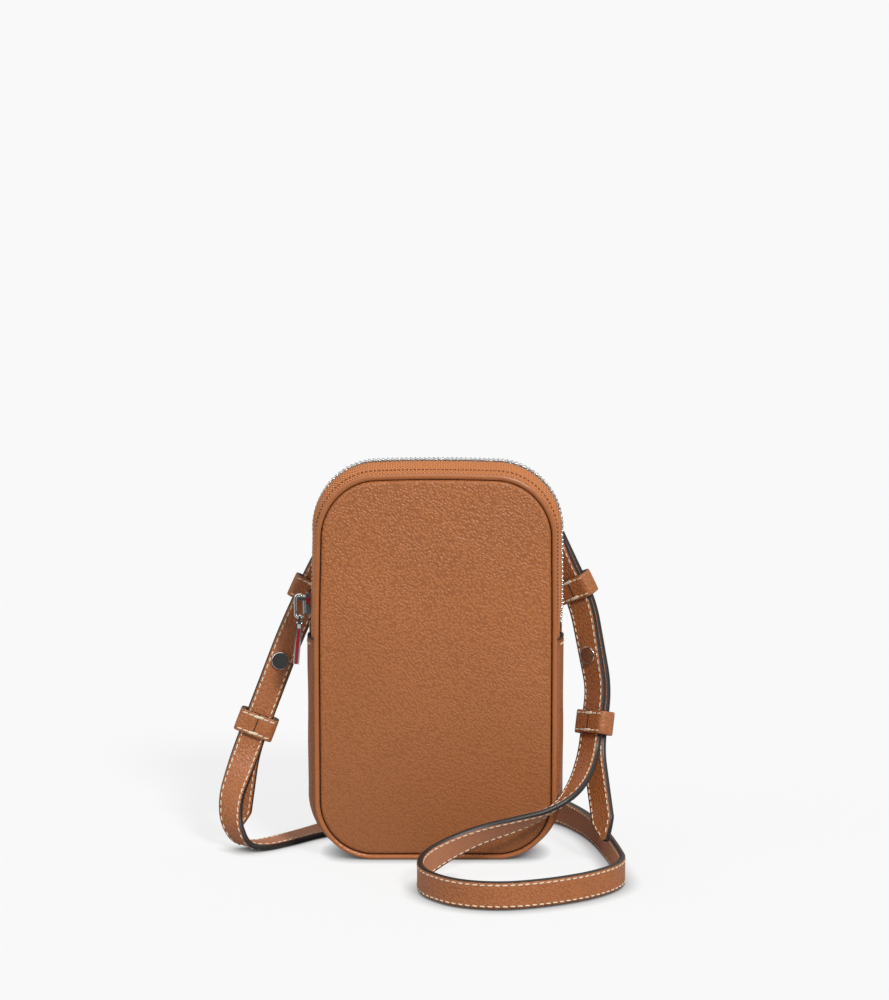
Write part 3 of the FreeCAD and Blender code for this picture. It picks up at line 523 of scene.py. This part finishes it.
TAPE_DROP = 1.6
TAPE_THICKNESS = 0.7
TAPE_TUCK = 5
SEWN_SHARE = 0.83
SEWN_PITCH = 1.75
tape_front = np.linspace(-0.985, -0.15, 13).tolist()
sewn = capsule(1.0, 0.34)
for label, shares in (("front", tape_front), ("rear", [-share for share in tape_front[::-1]])):
    tape_points, tape_rows, tape_width = band(ZIP_START - TAPE_TUCK, ROUND - ZIP_START + TAPE_TUCK,
                                              BAND_STEP, shares, TAPE_DROP, TAPE_THICKNESS)
    tape = Pile()
    tape.put(tape_points, capped(tape_rows, tape_width), 0)
    edge_share = -SEWN_SHARE if label == "front" else SEWN_SHARE
    for distance in np.arange(ZIP_START + 3, ROUND - ZIP_START - 2, SEWN_PITCH):
        x, z, out_x, out_z = seam_at(distance)
        reach = crown_at(z, out_x, out_z) * swell(edge_share) - TAPE_DROP + 0.1
        centre = (x + out_x * reach, edge_share * BAND_HALF, z + out_z * reach)
        set_down(sewn, centre, (out_z, 0, -out_x), (out_x * 0.7, edge_share, out_z * 0.7), tape, 1)
    whole = tape.make(f"zip_tape_{label}_cloth", [TAPE, TAN_THREAD],
                      body=None if label == "front" else BODY,
                      replaced=(f"zip_tape_{label}",), slot="zip_cloth")
    if label == "front":
        bend_over_mouth(whole)


def rounded_block(lengths, centre, bevel):
    """Points and faces of a box with rounded edges."""
    work = bmesh.new()
    bmesh.ops.create_cube(work, size=1)
    for vert in work.verts:
        vert.co = Vector([vert.co[axis] * lengths[axis] + centre[axis] for axis in range(3)])
    bmesh.ops.bevel(work, geom=work.edges[:], offset=bevel, segments=2, affect="EDGES", profile=0.5)
    work.verts.index_update()
    points = np.array([vert.co[:] for vert in work.verts])
    faces = [[vert.index for vert in face.verts] for face in work.faces]
    work.free()
    return points, faces


chain = []
for distance in np.arange(ZIP_START, ROUND - ZIP_START + 0.2, 0.4):
    x, z, out_x, out_z = seam_at(distance)
    reach = crown_at(z, out_x, out_z) - TAPE_DROP - 0.5 - 0.5 * max(-out_x, 0)
    chain.append((x + out_x * reach, 0, z + out_z * reach))
chain = np.array(chain)
chain_run = np.concatenate([[0], np.cumsum(np.linalg.norm(np.diff(chain, axis=0), axis=1))])


def chain_at(distance):
    point = np.array([np.interp(distance, chain_run, chain[:, axis]) for axis in range(3)])
    ahead = np.array([np.interp(distance + 0.6, chain_run, chain[:, axis]) for axis in range(3)])
    behind = np.array([np.interp(distance - 0.6, chain_run, chain[:, axis]) for axis in range(3)])
    along = unit(ahead - behind)
    return point, along, np.cross(along, (0, 1, 0))


PITCH = 2.0
TEETH_START = 13.25
TEETH_COUNT = 109
tooth_grip = rounded_block((0.86, 2.3, 2.3), (0, -1.95, 0), 0.22)
tooth_head = rounded_block((1.02, 1.5, 1.9), (0, -0.3, 0.1), 0.3)
for label, way, lead in (("front", 1, 0.0), ("rear", -1, 0.5)):
    row = Pile()
    for number in range(TEETH_COUNT):
        point, along, out = chain_at(TEETH_START + (number + lead) * PITCH)
        axes = np.array([along, (0, way, 0), out])
        for points, faces in (tooth_grip, tooth_head):
            row.put(point + points @ axes, faces if way > 0 else [face[::-1] for face in faces])
    teeth = row.make(f"zip_teeth_{label}_metal", [TEETH], body=None if label == "front" else BODY,
                     replaced=(f"zip_teeth_{label}",), slot="polished_metal")
    if label == "front":
        bend_over_mouth(teeth)


# Strap: a flat strip with painted edges and two rows of saddle stitches

STRAP_WIDTH = 12.2
STRAP_THICKNESS = 2.5
LAYER_STEP = 3.0
FOLD_RADIUS = 2.85
END_LEAD = 13.0
END_CORNER = 9.0
TIP_LENGTH = 9.5
STITCH_PITCH = 3.1
STITCH_INSET = 1.55
STITCH_LIFT = 0.02
RIGHT_END = (
    ((69.2, 6.4, 57.2), (0.68, -0.71, 0.18)),
    ((71.0, 10.6, 71.7), (0.68, -0.71, 0.18)),
    ((64.5, 17.6, 108.1), (0.86, -0.48, 0.18)),
    ((54.6, 18.4, 128.5), (0.86, -0.48, 0.18)),
    ((46.8, 17.4, 146.3), (0.87, 0, 0.48)),
)
RIGHT_TIP = (74.0, -24.0, 11.4)
LEFT_END = (
    ((-79.7, 14.4, 54.3), (-0.95, 0.03, 0.32)),
    ((-63.9, 17.4, 95.5), (-0.95, 0.03, 0.32)),
    ((-52.1, 19.5, 121.3), (-0.93, 0.03, 0.36)),
    ((-43.7, 17.4, 136.5), (-0.87, 0, 0.48)),
)
LEFT_TIP = (-89.6, 16.5, 4.6)
ROUTE = (
    ((64.1, -9.4, 36.4), (0.62, -0.75, 0.22)),
    ((58.0, -24.6, 31.0), (0.4, -0.87, 0.28)),
    ((48.4, -29.0, 25.0), (0.05, -0.92, 0.38)),
    ((34.5, -32.5, 20.9), (0, -0.74, 0.67)),
    ((20.3, -34.5, 17.4), (0, -0.6, 0.8)),
    ((6.5, -39.5, 12.6), (0, -0.35, 0.93)),
    ((-6.0, -50.0, 7.4), (0, 0, 1)),
    ((-7.0, -70.0, 6.4), (0, 0, 1)),
    ((7.0, -88.0, 6.4), (0, 0, 1)),
    ((26.0, -93.5, 6.4), (0, 0, 1)),
    ((46.0, -88.0, 6.4), (0, 0, 1)),
    ((67.0, -76.0, 6.4), (0, 0, 1)),
    ((81.0, -58.0, 6.4), (0, 0, 1)),
    ((78.2, -32.0, 6.4), (0, 0, 1)),
    ((74.2, -5.0, 6.4), (0, 0, 1)),
    ((68.4, 22.0, 6.4), (0, 0, 1)),
    ((56.5, 48.0, 6.4), (0, 0, 1)),
    ((36.0, 61.0, 6.4), (0, 0.12, 0.99)),
    ((11.0, 60.0, 6.3), (0, 0.5, 0.87)),
    ((-15.0, 51.0, 5.2), (-0.2, 0.78, 0.6)),
    ((-37.0, 39.0, 3.2), (-0.4, 0.88, 0.25)),
    ((-56.0, 25.5, 1.7), (-0.66, 0.75, 0)),
    ((-67.0, 13.8, 1.6), (-0.66, 0.75, 0)),
    ((-77.0, 5.0, 1.6), (-0.62, 0.78, 0)),
    ((-85.5, 1.0, 3.2), (-0.68, 0.73, 0)),
    ((-90.6, 1.5, 12.2), (-0.76, 0.64, 0.1)),
    ((-90.8, 4.8, 23.5), (-0.86, 0.5, 0.15)),
)


def eased(points, edges, share, limit=math.inf):
    """A path through corner points with soft corners; each point keeps its edge direction."""
    points = [np.array(point, float) for point in points]
    edges = [unit(edge) for edge in edges]
    path = [(points[0], edges[0])]
    for number in range(1, len(points) - 1):
        back = points[number - 1] - points[number]
        ahead = points[number + 1] - points[number]
        reach = min(share * min(np.linalg.norm(back), np.linalg.norm(ahead)), limit)
        sides = []
        for run, other in ((back, number - 1), (ahead, number + 1)):
            part = reach / np.linalg.norm(run)
            sides.append((points[number] + run * part, edges[number] * (1 - part) + edges[other] * part))
        for t in np.linspace(0, 1, 17):
            weights = ((1 - t) ** 2, 2 * t * (1 - t), t * t)
            corner = (sides[0], (points[number], edges[number]), sides[1])
            path.append(tuple(sum(weight * spot[item] for weight, spot in zip(weights, corner))
                              for item in (0, 1)))
    path.append((points[-1], edges[-1]))
    return path


class Strip:
    """Evenly spaced stations of a strap path, with direction, edge and face at each."""

    def __init__(self, path, step=1.0):
        points = np.array([point for point, edge in path])
        edges = np.array([edge for point, edge in path])
        gaps = np.linalg.norm(np.diff(points, axis=0), axis=1)
        kept = np.concatenate([[True], gaps > 1e-6])
        points, edges = points[kept], edges[kept]
        run = np.concatenate([[0], np.cumsum(np.linalg.norm(np.diff(points, axis=0), axis=1))])
        self.length = run[-1]
        self.places = np.linspace(0, run[-1], int(run[-1] / step) + 1)
        self.points = np.stack([np.interp(self.places, run, points[:, axis]) for axis in range(3)], 1)
        raw = np.stack([np.interp(self.places, run, edges[:, axis]) for axis in range(3)], 1)
        self.along = unit(np.gradient(self.points, axis=0))
        self.edge = unit(raw - self.along * np.sum(raw * self.along, axis=1, keepdims=True))
        self.face = np.cross(self.along, self.edge)

    def at(self, place):
        found = []
        for values in (self.points, self.along, self.edge, self.face):
            found.append(np.array([np.interp(place, self.places, values[:, axis]) for axis in range(3)]))
        return found


def strap_profile(half_width, half_thickness):
    """Closed section of the strap, with the kind of each of its sides: face, edge or inner face."""
    rim = 0.55
    flat = np.linspace(-1, 1, 9)
    points = [(share * (half_width - rim), half_thickness) for share in flat]
    kinds = [0] * (len(points) - 1)
    bow = ((-0.25, 0.93), (0.45, 0.72), (0.9, 0.3), (1.0, 0.0), (0.9, -0.3), (0.45, -0.72), (-0.25, -0.93))
    for out, up in bow:
        points.append((half_width - rim + rim * max(out, 0) + 0.12 * min(out, 0), half_thickness * up))
    kinds += [0] + [1] * 7
    points += [(share * (half_width - rim), -half_thickness) for share in flat[::-1]]
    kinds += [2] * (len(flat) - 1)
    for out, up in bow[::-1]:
        points.append((-(half_width - rim + rim * max(out, 0) + 0.12 * min(out, 0)), half_thickness * up))
    kinds += [2] + [1] * 7
    return np.array(points), kinds[:len(points)]


def lay_strip(pile, strip, widths, face_kind, inner_kind):
    """The leather of a strap path."""
    profile, kinds = strap_profile(STRAP_WIDTH / 2, STRAP_THICKNESS / 2)
    rows = []
    for number in range(len(strip.points)):
        across = profile[:, :1] * widths[number] * strip.edge[number]
        rows.append(strip.points[number] + across + profile[:, 1:] * strip.face[number])
    count = len(profile)
    faces = grid_faces(len(rows), count, False, True)
    named = {0: face_kind, 1: 1, 2: inner_kind}
    around = [named[kind] for kind in kinds]
    face_kinds = around * (len(rows) - 1)
    faces += [tuple(range(count)), tuple(range((len(rows) - 1) * count, len(rows) * count))[::-1]]
    pile.put(np.concatenate(rows), [face[::-1] for face in faces], face_kinds + [1, 1])


long_stitch = capsule(2.15, 0.30)


def sew_strip(pile, strip, widths, start, end, kind):
    """Saddle stitches along both edges and on both faces; they follow the edges to a pointed tip."""
    places = np.arange(start, end, STITCH_PITCH)
    insets = np.interp(places, strip.places, widths) * STRAP_WIDTH / 2 - STITCH_INSET
    for way in (1, -1):
        for side in (-1, 1):
            for place, inset, lean in zip(places, insets, np.gradient(insets) / STITCH_PITCH):
                point, along, edge, face = strip.at(place)
                centre = point + edge * side * inset + face * way * (STRAP_THICKNESS / 2 + STITCH_LIFT)
                set_down(long_stitch, centre, along + edge * side * lean, face * way, pile, kind,
                         0.07 * side * way)


def towards_front(direction, edge):
    normal = unit(np.cross(direction, edge))
    return normal if normal[1] < 0 else -normal


class End:
    """A doubled end: up the front layer, round the ring and down the rear layer to the tip."""

    def __init__(self, side, end, tip):
        self.points = [np.array(point, float) for point, edge in end]
        self.edges = [unit(edge) for point, edge in end]
        points = self.points
        across = unit(np.cross((0, 1, 0), points[-1] - points[-2]))
        self.edges[-1] = across if across @ self.edges[-1] > 0 else -across
        self.join = points[0]
        self.up = unit(points[1] - points[0])
        straight = unit(self.edges[0] - self.up * (self.edges[0] @ self.up))
        front = towards_front(self.up, straight)
        turn = 1 if np.cross(self.up, straight) @ front > 0 else -1
        edges = [edge * turn for edge in self.edges]
        rise = unit(points[-1] - points[-2])
        ring_face = towards_front(rise, self.edges[-1])
        bar = points[-1] - ring_face * FOLD_RADIUS
        path = eased(points, edges, 0.4, END_CORNER)
        for angle in np.linspace(0, math.pi, 13)[1:-1]:
            spoke = ring_face * math.cos(angle) + rise * math.sin(angle)
            path.append((bar + spoke * FOLD_RADIUS, edges[-1]))
        tail = [bar - ring_face * FOLD_RADIUS]
        for number in range(len(points) - 2, 0, -1):
            mean = unit(points[number + 1] - points[number]) + unit(points[number] - points[number - 1])
            tail.append(points[number] - towards_front(mean, self.edges[number]) * LAYER_STEP)
        tail += [self.join - self.up * END_LEAD - front * LAYER_STEP, np.array(tip, float)]
        strip = Strip(path + eased(tail, edges[::-1] + edges[:1], 0.4, END_CORNER))
        left = strip.length - strip.places
        widths = 0.1 + 0.9 * np.clip(left / TIP_LENGTH, 0, 1) ** 0.75
        pile = Pile()
        lay_strip(pile, strip, widths, 0, 0)
        sew_strip(pile, strip, widths, 1.5, strip.length - 3.2, 2)
        self.made = pile.make(f"strap_{side}_end", [STRAP, EDGE, THREAD], replaced=(f"strap_end_{side}",),
                              slot="strap_leather")

    def lead(self):
        return [self.join, self.join - self.up * END_LEAD]


left_end = End("left", LEFT_END, LEFT_TIP)
right_end = End("right", RIGHT_END, RIGHT_TIP)
route_points = right_end.lead() + [np.array(point) for point, edge in ROUTE] + left_end.lead()[::-1]
route_edges = right_end.edges[:1] * 2 + [unit(edge) for point, edge in ROUTE] + left_end.edges[:1] * 2
free = Strip(eased(route_points, route_edges, 0.5))
free_pile = Pile()
full_width = np.ones(len(free.points))
lay_strip(free_pile, free, full_width, 0, 2)
sew_strip(free_pile, free, full_width, 1.6, free.length - 1.0, 3)
free_run = free_pile.make("strap_run", [STRAP, EDGE, INSIDE, THREAD], replaced=("strap_free_run",),
                          slot="strap_leather")


# Keepers: a leather loop, closed in front by thick bridging stitches

def loop_outline(half, high, radius, count=72):
    """Points and outward directions round a rounded rectangle, evenly spaced."""
    spots = []
    for corner, (way_x, way_y) in enumerate(((1, 1), (-1, 1), (-1, -1), (1, -1))):
        for step in range(9):
            angle = math.pi / 2 * (corner + step / 8)
            out_x, out_y = math.cos(angle), math.sin(angle)
            spots.append((way_x * (half - radius) + radius * out_x, way_y * (high - radius) + radius * out_y,
                          out_x, out_y))
    spots = np.array(spots + spots[:1])
    run = np.concatenate([[0], np.cumsum(np.linalg.norm(np.diff(spots[:, :2], axis=0), axis=1))])
    places = np.linspace(0, run[-1], count, endpoint=False)
    return np.stack([np.interp(places, run, spots[:, item]) for item in range(4)], 1)


bridge = capsule(4.6, 0.68, 0.7)
KEEPER_STITCHES = ((-6.3, short_stitch), (-3.5, short_stitch), (0.0, bridge), (3.5, short_stitch),
                   (6.3, short_stitch))
KEEPER_HALF = 5.15
KEEPER_WALL = 1.4
KEEPER_ACROSS = 7.5
KEEPER_DEEP = 3.1
KEEPER_CORNER = 1.2
KEEPER_SECTION = (
    (0.15, -KEEPER_HALF), (KEEPER_WALL - 0.35, -KEEPER_HALF), (KEEPER_WALL - 0.1, -KEEPER_HALF + 0.15),
    (KEEPER_WALL, -KEEPER_HALF + 0.5), (KEEPER_WALL + 0.05, -2.0), (KEEPER_WALL + 0.05, 2.0),
    (KEEPER_WALL, KEEPER_HALF - 0.5), (KEEPER_WALL - 0.1, KEEPER_HALF - 0.15),
    (KEEPER_WALL - 0.35, KEEPER_HALF), (0.15, KEEPER_HALF), (0, KEEPER_HALF - 0.2), (0, -KEEPER_HALF + 0.2),
)
KEEPER_KINDS = [1, 1, 0, 0, 0, 0, 0, 1, 1, 1, 0, 1]


def keeper(node, end, run, share):
    """A keeper on one run of a doubled end, at a share of that run."""
    start, stop = end.points[run], end.points[run + 1]
    up = unit(stop - start)
    across = unit(end.edges[run] - up * (end.edges[run] @ up))
    front = towards_front(up, across)
    across = np.cross(front, up)
    middle = start + (stop - start) * share - front * (LAYER_STEP / 2)
    outline = loop_outline(KEEPER_ACROSS, KEEPER_DEEP, KEEPER_CORNER)
    points = []
    for x, y, out_x, out_y in outline:
        for reach, place in KEEPER_SECTION:
            points.append(middle + across * (x + out_x * reach) + front * (y + out_y * reach) + up * place)
    pile = Pile()
    faces = grid_faces(len(outline), len(KEEPER_SECTION), True, True)
    pile.put(points, [face[::-1] for face in faces], KEEPER_KINDS * len(outline))
    top = KEEPER_DEEP + KEEPER_WALL + 0.04
    for level in (-3.75, 3.75):
        for place, shape in KEEPER_STITCHES:
            centre = middle + across * place + front * top + up * level
            set_down(shape, centre, across, front, pile, 2, 0.09)
            set_down(short_stitch, centre - front * 2 * top, across, -front, pile, 2, 0.09)
    # a thin dark strip along the joint: painted shadow of its groove
    joint_points, joint_faces = rounded_block((0.55, 2 * KEEPER_HALF - 0.2, 0.12), (0, 0, 0), 0.03)
    pile.put(middle + front * top + joint_points @ np.array([across, up, front]), joint_faces, 3)
    return pile.make(f"{node}_loop", [STRAP, EDGE, THREAD, SEAM_SHADOW], body=f"{node}_body", replaced=(node,),
                     slot="strap_leather")


keepers = [
    keeper("keeper_left_upper", left_end, 1, 0.695),
    keeper("keeper_left_lower", left_end, 0, 0),
    keeper("keeper_right_upper", right_end, 2, 0.347),
    keeper("keeper_right_lower", right_end, 0, 0),
]


# Hard pieces: the CAD shapes with softened edges

# the pull tab's hinge in metres, and its directions through its thickness and down its length
TAB_HINGE = Vector((-0.0594, 0, 0.1055))
TAB_ACROSS = Vector((0.9962, 0, -0.0872))
TAB_DOWN = Vector((-0.0872, 0, -0.9962))
TAB_SWELL = 0.00025


def thicken(verts):
    """Below its eye, the pull tab is a little thicker and starts higher than its plain form."""
    for vert in verts:
        place = (vert.co - TAB_HINGE).dot(TAB_ACROSS)
        if 0.0024 < (vert.co - TAB_HINGE).dot(TAB_DOWN) < 0.0042:
            vert.co -= TAB_DOWN * 0.0014
        if vert.co.z < TAB_HINGE.z - 0.0013:
            vert.co += TAB_ACROSS * math.copysign(TAB_SWELL * min(abs(place) / 0.0005, 1), place)


def softened(node, mat, bevel):
    """A CAD shape with rounded edges, in place of its node."""
    source = nodes[node]
    work = bmesh.new()
    work.from_mesh(source.data)
    bmesh.ops.remove_doubles(work, verts=work.verts, dist=1e-6)
    bmesh.ops.dissolve_limit(work, angle_limit=math.radians(1), verts=work.verts, edges=work.edges)
    mesh = bpy.data.meshes.new(f"{node}_finish")
    if node.startswith("pull_tab"):
        thicken(work.verts)
    work.to_mesh(mesh)
    work.free()
    mesh.materials.clear()
    mesh.materials.append(mat)
    obj = bpy.data.objects.new(f"{node}_finish", mesh)
    bpy.context.scene.collection.objects.link(obj)
    if bevel:
        soft = obj.modifiers.new("edges", "BEVEL")
        soft.width = bevel * MM
        soft.segments = 2
        soft.limit_method = "ANGLE"
        soft.angle_limit = math.radians(40)
    mesh.shade_smooth()
    mesh.set_sharp_from_angle(angle=math.radians(38))
    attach(obj, source["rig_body"])
    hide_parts(node)
    return obj


for node, bevel in (("zip_slider", 0.22), ("zip_stops_front", 0.2), ("zip_stops_rear", 0.2),
                    ("pull_link", 0), ("pull_tab", 0.12), ("strap_ring_left", 0), ("strap_ring_right", 0)):
    softened(node, METAL, bevel)
studs = [softened(f"{kind}_{side}", METAL, 0.25)
         for kind in ("stud", "stud_screw") for side in ("left", "right")]
for node in ("slider_inlay", "pull_tab_core"):
    softened(node, CRIMSON, 0.06)
for node in ("ring_holder_left", "ring_holder_right"):
    softened(node, STRAP, 0.3)
for node, thing in nodes.items():
    if "lining" in node or "board" in node:
        thing.data.materials.clear()
        thing.data.materials.append(LINING if "lining" in node else BOARD)


# Floor: pale with a soft shadow and a painted contact shadow; to reflections only, a stretch in front of the
# pouch is painted dark, so the metal shows a painted dark reflection

FLOOR_COLOUR = (0.5, 0.5, 0.5)
FLOOR_AHEAD = (0.015, 0.015, 0.015)
FLOOR_REACH = 30
floor_mat, floor_tree, floor_shader = paint("pale_floor", FLOOR_COLOUR, 0.9)
floor_shader.inputs["Specular IOR Level"].default_value = 0.1
seen = floor_tree.nodes.new("ShaderNodeLightPath")
shade = add(floor_tree, "ShaderNodeBsdfDiffuse", Color=(0.155, 0.155, 0.155, 1))
glow = add(floor_tree, "ShaderNodeEmission", Strength=0.787)
# the glow fades near objects by ambient occlusion: a painted contact shadow
contact = add(floor_tree, "ShaderNodeAmbientOcclusion", Distance=0.008)
floor_tree.links.new(contact.outputs["Color"], glow.inputs["Color"])
both = floor_tree.nodes.new("ShaderNodeAddShader")
pick = floor_tree.nodes.new("ShaderNodeMixShader")
floor_tree.links.new(shade.outputs[0], both.inputs[0])
floor_tree.links.new(glow.outputs[0], both.inputs[1])
floor_tree.links.new(seen.outputs["Is Camera Ray"], pick.inputs[0])
floor_tree.links.new(floor_shader.outputs[0], pick.inputs[1])
floor_tree.links.new(both.outputs[0], pick.inputs[2])
floor_tree.links.new(pick.outputs[0], floor_tree.nodes["Material Output"].inputs["Surface"])
# for glossy rays only, the floor ahead of the pouch is painted dark: a painted reflection
spot = add(floor_tree, "ShaderNodeSeparateXYZ")
floor_tree.links.new(floor_tree.nodes.new("ShaderNodeNewGeometry").outputs["Position"], spot.inputs[0])
near = between(floor_tree, spot.outputs["Y"], 1.0, 0.0, -0.55, -0.2)
dark_in_reflection = add(floor_tree, "ShaderNodeMath", operation="MULTIPLY")
floor_tree.links.new(near, dark_in_reflection.inputs[0])
floor_tree.links.new(seen.outputs["Is Glossy Ray"], dark_in_reflection.inputs[1])
floor_tree.links.new(mixed(floor_tree, dark_in_reflection.outputs[0], FLOOR_COLOUR, FLOOR_AHEAD),
                     floor_shader.inputs["Base Color"])
floor_mesh = bpy.data.meshes.new("floor")
floor_corners = [(x * FLOOR_REACH, y * FLOOR_REACH, 0) for x, y in ((-1, -1), (1, -1), (1, 1), (-1, 1))]
floor_mesh.from_pydata(floor_corners, [], [(0, 1, 2, 3)])
floor_mesh.materials.append(floor_mat)
floor = bpy.data.objects.new("floor", floor_mesh)
bpy.context.scene.collection.objects.link(floor)


# Lamps, sky and camera

def sun(name, place, spread, strength, shine):
    """A lamp that shines from a place to the origin; shine is its share in reflections."""
    light = bpy.data.lights.new(name, "SUN")
    light.specular_factor = shine
    light.angle = math.radians(spread)
    light.energy = strength
    obj = bpy.data.objects.new(name, light)
    obj.location = place
    obj.rotation_euler = Vector(place).to_track_quat("Z", "Y").to_euler()
    bpy.context.scene.collection.objects.link(obj)
    return obj


key = sun("key", (0.42, -0.78, 0.72), 12, 2.4, 1.0)
fill = sun("fill", (-1.0, -0.3, 0.5), 40, 0.45, 0.3)
SKY_STRENGTH = 0.5
world = bpy.data.worlds.new("studio")
world.use_nodes = True
sky = world.node_tree.nodes["Background"]
sky.inputs["Color"].default_value = (1, 1, 1, 1)
sky_tree = world.node_tree
looking = add(sky_tree, "ShaderNodeSeparateXYZ")
sky_tree.links.new(sky_tree.nodes.new("ShaderNodeTexCoord").outputs["Generated"], looking.inputs[0])
ahead = between(sky_tree, looking.outputs["Y"], 0.03, 1.0, -0.97, -0.78)
above = between(sky_tree, looking.outputs["Z"], 0.14, 1.1, 0.0, 0.9)
mirrored = add(sky_tree, "ShaderNodeMath", operation="MULTIPLY")
sky_tree.links.new(ahead, mirrored.inputs[0])
sky_tree.links.new(above, mirrored.inputs[1])
level = add(sky_tree, "ShaderNodeMix", data_type="FLOAT")
sky_tree.links.new(sky_tree.nodes.new("ShaderNodeLightPath").outputs["Is Glossy Ray"], level.inputs[0])
level.inputs[2].default_value = SKY_STRENGTH
sky_tree.links.new(mirrored.outputs[0], level.inputs[3])
sky_tree.links.new(level.outputs[0], sky.inputs["Strength"])
bpy.context.scene.world = world
camera_data = bpy.data.cameras.new("camera")
camera_data.lens = 123.1
camera = bpy.data.objects.new("camera", camera_data)
camera.location = (0.0039, -1.4674, 0.4033)
camera.rotation_euler = (math.radians(80.5), 0, 0)
bpy.context.scene.collection.objects.link(camera)
bpy.context.scene.camera = camera
bpy.context.scene.view_settings.view_transform = "Standard"
